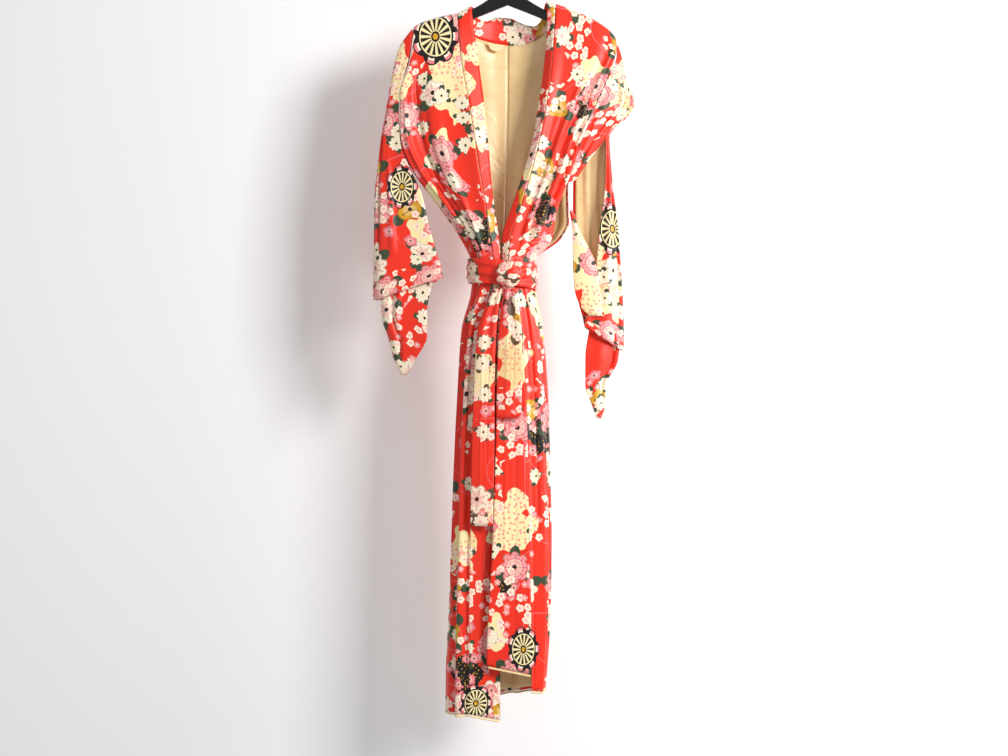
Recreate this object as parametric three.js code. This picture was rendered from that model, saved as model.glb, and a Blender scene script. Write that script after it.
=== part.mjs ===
// A lined silk kimono robe hanging on a plastic coat hanger, belted at the waist.
// Millimetres, +Z up, the front faces -Y, the wearer's right is at -X.
// The origin is the point inside the hanger's hook where a rail carries it.
import * as THREE from "three";

// Driving dimensions
const CLOTH = 1.4; // wall of a silk panel
const BAND = 2.2; // wall of the collar and of the belt, which are folded double
const LINING_WALL = 1.0;
const SEAM = 0.6; // clear gap between two panels at a seam
const COLLAR_SEAM = 1.5; // the same where the collar, folded double, meets a front at an angle
const ARMHOLE_GAP = 1.5; // clear gap between a sleeve and the body
const LINING_LIFT = 3.4; // how far a lining lies inside its panel
const HEM_ROLL = 2.2; // radius of the lining roll that edges each hem
const LONGEST_SPAN = 140; // the most between two facets down a panel

const BELT_Z = -670; // the middle of the belt
const BELT_HEIGHT = 50;
const BELT_CENTRE = new THREE.Vector2(-11, -2.5);
const BELT_RADII = new THREE.Vector2(71.5, 56.5);

const HANGER_THICKNESS = 10;
const HOOK_RADIUS = 23; // to the middle of the hook's wire
const HOOK_WIRE = 1.8; // radius of the wire

const SILK = material(0xd62a20, 0.45, 0);
const SILK_DARK = material(0xb3241c, 0.5, 0);
const LINING = material(0xe2c898, 0.5, 0);
const PLASTIC = material(0x1a1a1c, 0.35, 0);
const STEEL = material(0xb8b8bc, 0.3, 1);

function material(color, roughness, metalness) {
  return new THREE.MeshStandardMaterial({ color, roughness, metalness });
}

// The tables. Each row is one height of a panel.
// zIn, xIn, yIn: the edge nearer the middle, which is a seam. zOut, xOut, yOut: the side edge.
// round: 0 for a flat stretch, 1 for a quarter of an ellipse. fold: how deep the folds are.
// band, turn: how far the strip sewn to the inner edge, the collar above the belt and the overlap
// below it, reaches sideways and inwards.
const FRONT_RIGHT = [
  { zIn: -119, xIn: -106, yIn: -1, zOut: -151, xOut: -198, yOut: -1, round: 0, fold: 0, band: 29, turn: 0, rise: 14 },
  { zIn: -126, xIn: -106, yIn: -10, zOut: -158, xOut: -198, yOut: -10, round: 0, fold: 0, band: 30, turn: 1, rise: 12 },
  { zIn: -217, xIn: -99, yIn: -18, zOut: -226, xOut: -206, yOut: -12, round: 0, fold: 1.5, band: 37, turn: 9, rise: 0 },
  { zIn: -302, xIn: -84, yIn: -27, zOut: -293, xOut: -226, yOut: -14, round: 0, fold: 4, band: 33, turn: 12, rise: 0 },
  { zIn: -376, xIn: -72, yIn: -35, zOut: -386, xOut: -224, yOut: -16, round: 0.2, fold: 5, band: 29, turn: 12, rise: 0 },
  { zIn: -460, xIn: -59, yIn: -43, zOut: -445, xOut: -203, yOut: -13, round: 0.5, fold: 6, band: 23, turn: 12, rise: 0 },
  { zIn: -534, xIn: -46, yIn: -48, zOut: -519, xOut: -148, yOut: -6, round: 0.8, fold: 6, band: 18, turn: 11, rise: 0 },
  { zIn: -597, xIn: -38, yIn: -49, zOut: -591, xOut: -99, yOut: -2, round: 1, fold: 4.5, band: 19, turn: 9, rise: 0 },
  { zIn: -644, xIn: -31, yIn: -47, zOut: -644, xOut: -76, yOut: -1, round: 1, fold: 2.5, band: 15, turn: 7, rise: 0 },
  { zIn: -677, xIn: -32, yIn: -47, zOut: -677, xOut: -74, yOut: -1, round: 1, fold: 2, band: 15, turn: 5, rise: 0 },
  { zIn: -707, xIn: -38, yIn: -49, zOut: -707, xOut: -76, yOut: -1, round: 1, fold: 2.5, band: 22, turn: 7, rise: 0 },
  { zIn: -787, xIn: -58, yIn: -54, zOut: -790, xOut: -95, yOut: -1, round: 1, fold: 5, band: 44, turn: 10, rise: 0 },
  { zIn: -935, xIn: -70, yIn: -57, zOut: -935, xOut: -103, yOut: -1, round: 1, fold: 7, band: 56, turn: 12, rise: 0 },
  { zIn: -1082, xIn: -75, yIn: -59, zOut: -1082, xOut: -110, yOut: -1, round: 1, fold: 8, band: 59, turn: 13, rise: 0 },
  { zIn: -1230, xIn: -78, yIn: -61, zOut: -1230, xOut: -114, yOut: -1, round: 1, fold: 8, band: 60, turn: 14, rise: 0 },
  { zIn: -1378, xIn: -80, yIn: -63, zOut: -1378, xOut: -120, yOut: -1, round: 1, fold: 9, band: 62, turn: 15, rise: -2 },
  { zIn: -1504, xIn: -80, yIn: -65, zOut: -1504, xOut: -126, yOut: -1, round: 1, fold: 9, band: 64, turn: 16, rise: -10 },
  { zIn: -1582, xIn: -80, yIn: -66, zOut: -1584, xOut: -127, yOut: -1, round: 1, fold: 9, band: 64, turn: 16, rise: -16 },
];
const FRONT_LEFT = [
  { zIn: -99, xIn: 101, yIn: -1, zOut: -177, xOut: 228, yOut: -1, round: 0, fold: 0, band: -18, turn: 0, rise: 4 },
  { zIn: -106, xIn: 101, yIn: -10, zOut: -184, xOut: 228, yOut: -10, round: 0, fold: 0, band: -19, turn: 1, rise: 3 },
  { zIn: -175, xIn: 97, yIn: -17, zOut: -206, xOut: 227, yOut: -11, round: 0, fold: 1.5, band: -15, turn: 12, rise: 0 },
  { zIn: -249, xIn: 91, yIn: -24, zOut: -260, xOut: 207, yOut: -14, round: 0, fold: 3, band: -17, turn: 14, rise: 0 },
  { zIn: -323, xIn: 80, yIn: -31, zOut: -329, xOut: 177, yOut: -17, round: 0.1, fold: 4, band: -17, turn: 14, rise: 0 },
  { zIn: -376, xIn: 70, yIn: -36, zOut: -390, xOut: 152, yOut: -19, round: 0.3, fold: 5, band: -15, turn: 13, rise: 0 },
  { zIn: -439, xIn: 55, yIn: -42, zOut: -450, xOut: 133, yOut: -20, round: 0.5, fold: 5, band: -16, turn: 12, rise: 0 },
  { zIn: -492, xIn: 40, yIn: -46, zOut: -505, xOut: 112, yOut: -16, round: 0.7, fold: 5, band: -18, turn: 10, rise: 0 },
  { zIn: -544, xIn: 23, yIn: -48, zOut: -546, xOut: 98, yOut: -9, round: 0.9, fold: 5, band: -19, turn: 10, rise: 0 },
  { zIn: -595, xIn: 6, yIn: -49, zOut: -597, xOut: 90, yOut: -3, round: 1, fold: 4.5, band: -18, turn: 9, rise: 0 },
  { zIn: -644, xIn: 2, yIn: -47, zOut: -644, xOut: 55, yOut: -1, round: 1, fold: 2.5, band: -13, turn: 7, rise: 0 },
  { zIn: -677, xIn: 8, yIn: -47, zOut: -677, xOut: 53, yOut: -1, round: 1, fold: 2, band: -19, turn: -1, rise: 0 },
  { zIn: -707, xIn: 14, yIn: -50, zOut: -707, xOut: 57, yOut: -1, round: 1, fold: 2.5, band: -31, turn: -3, rise: 0 },
  { zIn: -787, xIn: 25, yIn: -57, zOut: -787, xOut: 70, yOut: -1, round: 1, fold: 5, band: -46, turn: -5, rise: 0 },
  { zIn: -935, xIn: 38, yIn: -62, zOut: -935, xOut: 80, yOut: -1, round: 1, fold: 7, band: -61, turn: -5, rise: 0 },
  { zIn: -1082, xIn: 42, yIn: -64, zOut: -1082, xOut: 84, yOut: -1, round: 1, fold: 8, band: -69, turn: -5, rise: 0 },
  { zIn: -1230, xIn: 44, yIn: -66, zOut: -1230, xOut: 87, yOut: -1, round: 1, fold: 8, band: -76, turn: -5, rise: 0 },
  { zIn: -1378, xIn: 48, yIn: -68, zOut: -1378, xOut: 85, yOut: -1, round: 1, fold: 8, band: -88, turn: -5, rise: 8 },
  { zIn: -1500, xIn: 49, yIn: -69, zOut: -1500, xOut: 78, yOut: -1, round: 1, fold: 8, band: -93, turn: -5, rise: 20 },
  { zIn: -1533, xIn: 49, yIn: -69, zOut: -1540, xOut: 74, yOut: -1, round: 1, fold: 8, band: -93, turn: -5, rise: 20 },
];
const BACK_RIGHT = [
  { zIn: -170, xIn: 0, yIn: 46, zOut: -151, xOut: -198, yOut: 1, round: 0.5, fold: 0 },
  { zIn: -177, xIn: 0, yIn: 47, zOut: -158, xOut: -198, yOut: 10, round: 0.5, fold: 0 },
  { zIn: -217, xIn: 0, yIn: 48, zOut: -226, xOut: -206, yOut: 12, round: 0.5, fold: 1.5 },
  { zIn: -302, xIn: 0, yIn: 50, zOut: -293, xOut: -226, yOut: 14, round: 0.5, fold: 3 },
  { zIn: -376, xIn: -2, yIn: 52, zOut: -386, xOut: -222, yOut: 16, round: 0.6, fold: 4 },
  { zIn: -460, xIn: -4, yIn: 52, zOut: -445, xOut: -199, yOut: 13, round: 0.8, fold: 5 },
  { zIn: -534, xIn: -7, yIn: 51, zOut: -519, xOut: -146, yOut: 6, round: 1, fold: 5 },
  { zIn: -597, xIn: -10, yIn: 47, zOut: -591, xOut: -99, yOut: 2, round: 1, fold: 4 },
  { zIn: -644, xIn: -12, yIn: 43, zOut: -644, xOut: -76, yOut: 1, round: 1, fold: 2.5 },
  { zIn: -677, xIn: -12, yIn: 42, zOut: -677, xOut: -74, yOut: 1, round: 1, fold: 2 },
  { zIn: -707, xIn: -12, yIn: 43, zOut: -707, xOut: -76, yOut: 1, round: 1, fold: 2.5 },
  { zIn: -787, xIn: -14, yIn: 49, zOut: -790, xOut: -95, yOut: 1, round: 1, fold: 5 },
  { zIn: -935, xIn: -16, yIn: 54, zOut: -935, xOut: -103, yOut: 1, round: 1, fold: 7 },
  { zIn: -1082, xIn: -17, yIn: 58, zOut: -1082, xOut: -110, yOut: 1, round: 1, fold: 8 },
  { zIn: -1230, xIn: -18, yIn: 60, zOut: -1230, xOut: -114, yOut: 1, round: 1, fold: 8 },
  { zIn: -1378, xIn: -20, yIn: 62, zOut: -1378, xOut: -120, yOut: 1, round: 1, fold: 9 },
  { zIn: -1504, xIn: -21, yIn: 64, zOut: -1504, xOut: -126, yOut: 1, round: 1, fold: 9 },
  { zIn: -1566, xIn: -21, yIn: 64, zOut: -1584, xOut: -127, yOut: 1, round: 1, fold: 9 },
];
const BACK_LEFT = [
  { zIn: -170, xIn: 0, yIn: 46, zOut: -177, xOut: 228, yOut: 1, round: 0.5, fold: 0 },
  { zIn: -177, xIn: 0, yIn: 47, zOut: -184, xOut: 228, yOut: 10, round: 0.5, fold: 0 },
  { zIn: -217, xIn: 0, yIn: 48, zOut: -226, xOut: 221, yOut: 12, round: 0.5, fold: 1.5 },
  { zIn: -290, xIn: 0, yIn: 50, zOut: -300, xOut: 191, yOut: 14, round: 0.5, fold: 3 },
  { zIn: -335, xIn: 0, yIn: 51, zOut: -340, xOut: 172, yOut: 16, round: 0.6, fold: 4 },
  { zIn: -376, xIn: -1, yIn: 52, zOut: -390, xOut: 150, yOut: 19, round: 0.7, fold: 4.5 },
  { zIn: -439, xIn: -3, yIn: 52, zOut: -450, xOut: 130, yOut: 20, round: 0.8, fold: 5 },
  { zIn: -492, xIn: -5, yIn: 52, zOut: -505, xOut: 127, yOut: 14, round: 1, fold: 5 },
  { zIn: -544, xIn: -7, yIn: 51, zOut: -556, xOut: 129, yOut: 8, round: 1, fold: 5 },
  { zIn: -597, xIn: -10, yIn: 47, zOut: -592, xOut: 112, yOut: 3, round: 1, fold: 4 },
  { zIn: -644, xIn: -12, yIn: 43, zOut: -644, xOut: 55, yOut: 1, round: 1, fold: 2.5 },
  { zIn: -677, xIn: -12, yIn: 42, zOut: -677, xOut: 53, yOut: 1, round: 1, fold: 2 },
  { zIn: -707, xIn: -12, yIn: 43, zOut: -707, xOut: 57, yOut: 1, round: 1, fold: 2.5 },
  { zIn: -787, xIn: -14, yIn: 49, zOut: -787, xOut: 70, yOut: 1, round: 1, fold: 5 },
  { zIn: -935, xIn: -16, yIn: 54, zOut: -935, xOut: 80, yOut: 1, round: 1, fold: 7 },
  { zIn: -1082, xIn: -17, yIn: 58, zOut: -1082, xOut: 84, yOut: 1, round: 1, fold: 8 },
  { zIn: -1230, xIn: -18, yIn: 60, zOut: -1230, xOut: 87, yOut: 1, round: 1, fold: 8 },
  { zIn: -1378, xIn: -20, yIn: 62, zOut: -1378, xOut: 85, yOut: 1, round: 1, fold: 9 },
  { zIn: -1500, xIn: -21, yIn: 64, zOut: -1500, xOut: 78, yOut: 1, round: 1, fold: 9 },
  { zIn: -1566, xIn: -21, yIn: 64, zOut: -1542, xOut: 74, yOut: 1, round: 1, fold: 9 },
];

// A sleeve is an open C of cloth: xFront is its free front edge, xFold the fold along the arm, and
// xBack its free back edge. z is the height at the fold, and tilt how fast it rises along X. y and
// depth are the middle and the half depth of the C. The rows go down to the cuff, tuck up inside
// it, and come down again as the hanging pouch, which narrows to a closed corner.
const SLEEVE_RIGHT = [
  { z: -158, tilt: 0.9, xFront: -199, xFold: -205, xBack: -199, y: 0, depth: 8, fold: 0 },
  { z: -168, tilt: 0.8, xFront: -198, xFold: -213, xBack: -198, y: 0, depth: 9, fold: 0 },
  { z: -190, tilt: 0.5, xFront: -201, xFold: -227, xBack: -201, y: 0, depth: 10, fold: 1 },
  { z: -226, tilt: 0.2, xFront: -208, xFold: -237, xBack: -208, y: 0, depth: 12, fold: 2 },
  { z: -266, tilt: 0, xFront: -221, xFold: -245, xBack: -225, y: 0, depth: 13, fold: 2 },
  { z: -323, tilt: 0, xFront: -227, xFold: -255, xBack: -229, y: 0, depth: 14, fold: 2 },
  { z: -386, tilt: 0, xFront: -225, xFold: -266, xBack: -224, y: 0, depth: 16, fold: 4 },
  { z: -439, tilt: 0, xFront: -208, xFold: -272, xBack: -206, y: 0, depth: 18, fold: 5 },
  { z: -504, tilt: 0, xFront: -178, xFold: -279, xBack: -186, y: 0, depth: 22, fold: 6 },
  { z: -563, tilt: 0, xFront: -165, xFold: -280, xBack: -172, y: 0, depth: 23, fold: 6 },
  { z: -630, tilt: 0.08, xFront: -149, xFold: -281, xBack: -160, y: 0, depth: 24, fold: 6 },
  { z: -692, tilt: 0.26, xFront: -138, xFold: -282, xBack: -152, y: 0, depth: 24, fold: 5 },
  { z: -724, tilt: 0.31, xFront: -134, xFold: -282, xBack: -148, y: 0, depth: 24, fold: 4 },
  { z: -713, tilt: 0.31, xFront: -142, xFold: -276, xBack: -156, y: 0, depth: 18, fold: 2 },
  { z: -690, tilt: 0.3, xFront: -150, xFold: -270, xBack: -160, y: 0, depth: 14, fold: 1 },
  { z: -706, tilt: 0.28, xFront: -154, xFold: -267, xBack: -164, y: 0, depth: 10, fold: 1 },
  { z: -760, tilt: 0.1, xFront: -168, xFold: -264, xBack: -172, y: 0, depth: 12, fold: 3 },
  { z: -800, tilt: 0, xFront: -168, xFold: -251, xBack: -172, y: 0, depth: 13, fold: 3 },
  { z: -848, tilt: 0, xFront: -192, xFold: -238, xBack: -194, y: 0, depth: 9, fold: 2 },
  { z: -882, tilt: 0, xFront: -211, xFold: -223, xBack: -212, y: 0, depth: 5, fold: 0 },
];
const SLEEVE_LEFT = [
  { z: -190, tilt: 0, xFront: 229, xFold: 233, xBack: 228, y: 5, depth: 4, fold: 0 },
  { z: -206, tilt: 0, xFront: 233, xFold: 238, xBack: 229, y: 6, depth: 5, fold: 0 },
  { z: -260, tilt: 0, xFront: 245, xFold: 250, xBack: 210, y: 7, depth: 6, fold: 0 },
  { z: -311, tilt: 0, xFront: 261, xFold: 266, xBack: 187, y: 8, depth: 7, fold: 0 },
  { z: -344, tilt: 0, xFront: 236, xFold: 243, xBack: 172, y: 9, depth: 8, fold: 1 },
  { z: -378, tilt: 0, xFront: 206, xFold: 213, xBack: 157, y: 12, depth: 11, fold: 1 },
  { z: -428, tilt: 0, xFront: 206, xFold: 216, xBack: 140, y: 18, depth: 15, fold: 2 },
  { z: -490, tilt: 0, xFront: 204, xFold: 222, xBack: 138, y: 26, depth: 17, fold: 4 },
  { z: -565, tilt: 0, xFront: 194, xFold: 232, xBack: 138, y: 30, depth: 18, fold: 5 },
  { z: -648, tilt: 0, xFront: 186, xFold: 238, xBack: 140, y: 30, depth: 18, fold: 5 },
  { z: -724, tilt: -0.1, xFront: 180, xFold: 243, xBack: 148, y: 30, depth: 19, fold: 5 },
  { z: -796, tilt: -0.4, xFront: 164, xFold: 245, xBack: 160, y: 30, depth: 20, fold: 4 },
  { z: -832, tilt: -0.65, xFront: 160, xFold: 245, xBack: 164, y: 30, depth: 20, fold: 3 },
  { z: -820, tilt: -0.62, xFront: 168, xFold: 240, xBack: 172, y: 30, depth: 14, fold: 2 },
  { z: -797, tilt: -0.5, xFront: 174, xFold: 236, xBack: 178, y: 30, depth: 10, fold: 1 },
  { z: -815, tilt: -0.35, xFront: 170, xFold: 236, xBack: 174, y: 30, depth: 7, fold: 1 },
  { z: -850, tilt: -0.1, xFront: 163, xFold: 233, xBack: 166, y: 30, depth: 10, fold: 3 },
  { z: -905, tilt: 0, xFront: 163, xFold: 207, xBack: 165, y: 30, depth: 11, fold: 3 },
  { z: -945, tilt: 0, xFront: 177, xFold: 206, xBack: 178, y: 30, depth: 8, fold: 2 },
  { z: -974, tilt: 0, xFront: 187, xFold: 197, xBack: 188, y: 30, depth: 5, fold: 0 },
];
// The top of the left sleeve's front, from the armhole seam to the fold, which drapes over the
// hanger's end and stops at the edge that is folded under.
const SLEEVE_TOP_LEFT = [
  { zIn: -188, xIn: 229, yIn: -9, zOut: -190, xOut: 233, yOut: -4, round: 0, fold: 0 },
  { zIn: -207, xIn: 229, yIn: -11, zOut: -206, xOut: 238, yOut: -3, round: 0, fold: 0 },
  { zIn: -260, xIn: 209, yIn: -15, zOut: -260, xOut: 250, yOut: -3, round: 0.3, fold: 1 },
  { zIn: -298, xIn: 192, yIn: -17, zOut: -311, xOut: 267, yOut: -3, round: 0.3, fold: 2 },
  { zIn: -340, xIn: 175, yIn: -19, zOut: -343, xOut: 241, yOut: -5, round: 0.3, fold: 3 },
  { zIn: -395, xIn: 153, yIn: -21, zOut: -385, xOut: 203, yOut: -10, round: 0.2, fold: 2 },
  { zIn: -440, xIn: 139, yIn: -22, zOut: -428, xOut: 172, yOut: -16, round: 0, fold: 1 },
  { zIn: -478, xIn: 126, yIn: -22, zOut: -472, xOut: 143, yOut: -20, round: 0, fold: 0 },
];
// The left sleeve's front edge, turned over so that its lining faces out.
const TURNBACK = [
  { z: -534, left: 131, right: 137, y: 12 },
  { z: -575, left: 137, right: 152, y: 10 },
  { z: -648, left: 138, right: 186, y: 7 },
  { z: -700, left: 141, right: 194, y: 5 },
  { z: -742, left: 157, right: 202, y: 5 },
  { z: -757, left: 176, right: 204, y: 6 },
];

// The collar round the back of the neck, from the right shoulder to the left one. The first three
// columns are its free edge, the last three its seam.
const NECK = [
  { xTop: -73, yTop: 9, zTop: -104, xSeam: -104, ySeam: 10, zSeam: -123 },
  { xTop: -64, yTop: 24, zTop: -124, xSeam: -92, ySeam: 20, zSeam: -150 },
  { xTop: -46, yTop: 36, zTop: -127, xSeam: -60, ySeam: 33, zSeam: -161 },
  { xTop: -24, yTop: 42, zTop: -117, xSeam: -28, ySeam: 43, zSeam: -168 },
  { xTop: 2, yTop: 44, zTop: -118, xSeam: 0, ySeam: 46, zSeam: -171 },
  { xTop: 30, yTop: 42, zTop: -130, xSeam: 30, ySeam: 43, zSeam: -172 },
  { xTop: 56, yTop: 34, zTop: -138, xSeam: 62, ySeam: 32, zSeam: -163 },
  { xTop: 72, yTop: 22, zTop: -128, xSeam: 90, ySeam: 19, zSeam: -144 },
  { xTop: 79, yTop: 9, zTop: -96, xSeam: 99, ySeam: 10, zSeam: -110 },
];
const TAIL_SHORT = [
  { z: -704, left: -7, right: 14, y: -72 },
  { z: -740, left: -13, right: 22, y: -75 },
  { z: -787, left: -18, right: 28, y: -76 },
  { z: -870, left: -22, right: 29, y: -76 },
  { z: -971, left: -24, right: 27, y: -77 },
];
const TAIL_LONG = [
  { z: -704, left: -30, right: -12, y: -64 },
  { z: -740, left: -46, right: -19, y: -67 },
  { z: -790, left: -62, right: -24, y: -70 },
  { z: -870, left: -68, right: -27, y: -73 },
  { z: -1030, left: -74, right: -28, y: -75 },
  { z: -1192, left: -77, right: -31, y: -77 },
];

// Folds across a panel: how many, where they start, how uneven they are, and whether they also
// die away at the middle, where a sleeve is folded.
const FOLDS = {
  front_right: { count: 2, phase: 0.35, uneven: 0.1 },
  front_left: { count: 2, phase: 0.1, uneven: 0.12 },
  back_right: { count: 2.5, phase: 0.0, uneven: 0.1 },
  back_left: { count: 2.5, phase: 0.55, uneven: 0.12 },
  sleeve_right: { count: 2.5, phase: 0.2, uneven: 0.1, middle: true },
  sleeve_left: { count: 2.5, phase: 0.6, uneven: 0.1, middle: true },
};

const mix = (a, b, t) => a + (b - a) * t;
const clamp = (t) => Math.min(1, Math.max(0, t));
const ease = (t) => clamp(t) ** 2 * (3 - 2 * clamp(t));

// A table's columns as smooth curves that never overshoot a row. v runs from 0 at the first row to
// 1 at the last, in step with the distance that the named columns travel.
function smooth(rows, measured) {
  const knots = [0];
  for (let i = 1; i < rows.length; i++) {
    const steps = measured.map((name) => rows[i][name] - rows[i - 1][name]);
    knots.push(knots[i - 1] + Math.hypot(...steps));
  }
  const length = knots.at(-1);
  const v = knots.map((k) => k / length);
  const slopes = {};
  for (const name of Object.keys(rows[0])) {
    const rise = rows.slice(1).map((row, i) => (row[name] - rows[i][name]) / (v[i + 1] - v[i]));
    slopes[name] = rows.map((_, i) => {
      if (i === 0) return rise[0];
      if (i === rows.length - 1) return rise.at(-1);
      if (rise[i - 1] * rise[i] <= 0) return 0;
      return (2 * rise[i - 1] * rise[i]) / (rise[i - 1] + rise[i]);
    });
  }
  const at = (where) => {
    const t = clamp(where);
    let i = v.findIndex((k) => k >= t) - 1;
    i = Math.min(Math.max(i, 0), rows.length - 2);
    const span = v[i + 1] - v[i];
    const s = (t - v[i]) / span;
    const out = {};
    for (const name of Object.keys(rows[0])) {
      const a = rows[i][name];
      const b = rows[i + 1][name];
      const cubic = (b - a) * s * s * (3 - 2 * s);
      const ends = slopes[name][i] * s * (1 - s) ** 2 - slopes[name][i + 1] * s * s * (1 - s);
      out[name] = a + cubic + span * ends;
    }
    return out;
  };
  return { at, v, length };
}

// Where facets go down a table: at every row, and between rows that are far apart.
function stations(curve, from = 0, to = 1) {
  const found = [from];
  const inside = curve.v.filter((v) => v > from + 1e-6 && v < to - 1e-6);
  for (const end of [...inside, to]) {
    const start = found.at(-1);
    const parts = Math.ceil(((end - start) * curve.length) / LONGEST_SPAN);
    for (let i = 1; i <= parts; i++) found.push(mix(start, end, i / parts));
  }
  return found;
}

// The v at which a column of a curve reaches a value on its way down.
function whereIs(curve, name, value) {
  let low = 0;
  let high = 1;
  for (let i = 0; i < 40; i++) {
    const middle = (low + high) / 2;
    if (curve.at(middle)[name] > value) low = middle;
    else high = middle;
  }
  return high;
}

const evenly = (count, from = 0, to = 1) =>
  Array.from({ length: count + 1 }, (_, i) => mix(from, to, i / count));

// The unit normal of a surface. side turns it to face away from the garment's hollow.
function normalOf(surface, u, v, side) {
  const step = 2e-3;
  const along = surface(u + step, v).sub(surface(u - step, v));
  const down = surface(u, Math.min(1, v + step)).sub(surface(u, Math.max(0, v - step)));
  return along.cross(down).normalize().multiplyScalar(side);
}

// The folds' height over a surface: waves of uneven width and depth that die away at the seams.
function wave(u, v, { count, phase, uneven, middle }) {
  const bend = uneven * Math.sin(2 * Math.PI * (1.6 * u + phase));
  const ridge = Math.cos(2 * Math.PI * (count * u + phase + bend + 0.12 * v));
  const depth = 0.78 + 0.22 * Math.cos(2 * Math.PI * (0.9 * u + 0.5 * v + phase));
  const still = middle ? ease(Math.abs(u - 0.5) / 0.1) : 1;
  return ridge * depth * still * ease(u / 0.14) * ease((1 - u) / 0.12);
}

// A surface moved out along its own normals by the folds, and by lift.
function folded(surface, curve, spec, side, lift = 0) {
  return (u, v) => {
    const height = curve.at(v).fold * wave(clamp(u), v, spec) + lift;
    return surface(u, v).addScaledVector(normalOf(surface, u, v, side), height);
  };
}

// A front or back panel: rows of its table, flat or rounding back to the side. The shoulder line,
// which is its first row, falls away faster towards the arm.
const shoulderFall = (across) => mix(across, 1 - Math.sqrt(Math.max(0, 1 - across ** 2)), 0.5);

function panel(curve) {
  return (u, v) => {
    const row = curve.at(v);
    const angle = (u * Math.PI) / 2;
    const across = Math.sin(angle);
    return new THREE.Vector3(
      mix(row.xIn, row.xOut, across),
      mix(row.yIn, row.yOut, mix(across, 1 - Math.cos(angle), row.round)),
      mix(row.zIn, row.zOut, shoulderFall(Math.abs(across))),
    );
  };
}

// The top edge of a back panel at x: below the collar's seam at the neck, then along the front
// panel's shoulder line. level 0 is the edge, level 1 where the cloth has turned down over the arm
// of the hanger.
function backTop(frontCurve, x, level) {
  const top = frontCurve.at(0);
  const end = Math.abs(x) / x === -1 ? NECK[0] : NECK.at(-1);
  const reach = Math.abs(end.xSeam);
  if (Math.abs(x) > reach + 0.1) {
    const across = (Math.abs(x) - reach) / (Math.abs(top.xOut) - reach);
    const z = mix(top.zIn, top.zOut, shoulderFall(clamp(across)));
    return new THREE.Vector3(x, mix(1, 10, level), z - 7 * level);
  }
  const i = Math.max(NECK.findIndex((row) => row.xSeam >= x - 0.11), 1);
  const t = clamp((x - NECK[i - 1].xSeam) / (NECK[i].xSeam - NECK[i - 1].xSeam));
  const y = mix(NECK[i - 1].ySeam, NECK[i].ySeam, t);
  const z = mix(NECK[i - 1].zSeam, NECK[i].zSeam, t);
  return new THREE.Vector3(x, y + 2.2 + level, z - 2.2 - 6 * level);
}

// A back panel, whose upper part is drawn to that edge.
function backPanel(curve, frontCurve) {
  const plain = panel(curve);
  const turned = curve.v[1];
  const reach = 0.12;
  return (u, v) => {
    const x = plain(u, 0).x;
    const below = backTop(frontCurve, x, 1);
    if (v <= turned) return backTop(frontCurve, x, 0).lerp(below, v / turned);
    const pull = clamp((reach - v) / (reach - turned)) ** 2;
    const place = plain(u, v);
    return pull === 0 ? place : place.addScaledVector(below.sub(plain(u, turned)), pull);
  };
}

// The strip sewn to a front panel's inner edge: u runs from the seam to its free edge.
function strip(curve, seam) {
  return (u, v) => {
    const row = curve.at(v);
    const gap = Math.sign(row.band) * seam;
    return new THREE.Vector3(
      row.xIn + gap + u * (row.band - gap),
      row.yIn + u * row.turn,
      row.zIn + u * row.rise,
    );
  };
}

// A sleeve's C of cloth: u runs from the free front edge, round the fold, to the free back edge.
function sleeve(curve) {
  return (u, v) => {
    const row = curve.at(v);
    const edge = u < 0.5 ? row.xFront : row.xBack;
    const gap = Math.sign(row.xFold) * ARMHOLE_GAP;
    const x = mix(edge + gap, row.xFold + gap, Math.sin(Math.PI * u));
    return new THREE.Vector3(
      x,
      row.y - row.depth * Math.cos(Math.PI * u),
      row.z + row.tilt * (x - row.xFold),
    );
  };
}

// A flat hanging strip with a shallow hollow down its middle.
function hangingStrip(curve, hollow) {
  return (u, v) => {
    const row = curve.at(v);
    return new THREE.Vector3(mix(row.left, row.right, u), row.y + hollow * Math.sin(Math.PI * u), row.z);
  };
}

// A closed wall of cloth: the surface's points, each moved half the thickness to either side.
function wall(name, finish, surface, us, vs, thickness, ring = false) {
  const positions = [];
  for (const side of [0.5, -0.5]) {
    for (const v of vs) {
      for (const u of us) {
        const normal = normalOf(surface, u, v, 1);
        positions.push(surface(u, v).addScaledVector(normal, side * thickness));
      }
    }
  }
  const columns = us.length;
  const layer = columns * vs.length;
  const at = (side, i, j) => side * layer + j * columns + (i % columns);
  const faces = [];
  const quad = (a, b, c, d) => faces.push([a, b, c], [a, c, d]);
  const last = ring ? columns : columns - 1;
  for (let j = 0; j + 1 < vs.length; j++) {
    for (let i = 0; i < last; i++) {
      quad(at(0, i, j), at(0, i, j + 1), at(0, i + 1, j + 1), at(0, i + 1, j));
      quad(at(1, i, j), at(1, i + 1, j), at(1, i + 1, j + 1), at(1, i, j + 1));
    }
    if (!ring) {
      quad(at(0, 0, j), at(1, 0, j), at(1, 0, j + 1), at(0, 0, j + 1));
      quad(at(0, last, j), at(0, last, j + 1), at(1, last, j + 1), at(1, last, j));
    }
  }
  const end = vs.length - 1;
  for (let i = 0; i < last; i++) {
    quad(at(0, i, 0), at(0, i + 1, 0), at(1, i + 1, 0), at(1, i, 0));
    quad(at(0, i, end), at(1, i, end), at(1, i + 1, end), at(0, i + 1, end));
  }
  return closedMesh(name, finish, positions, faces);
}

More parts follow.
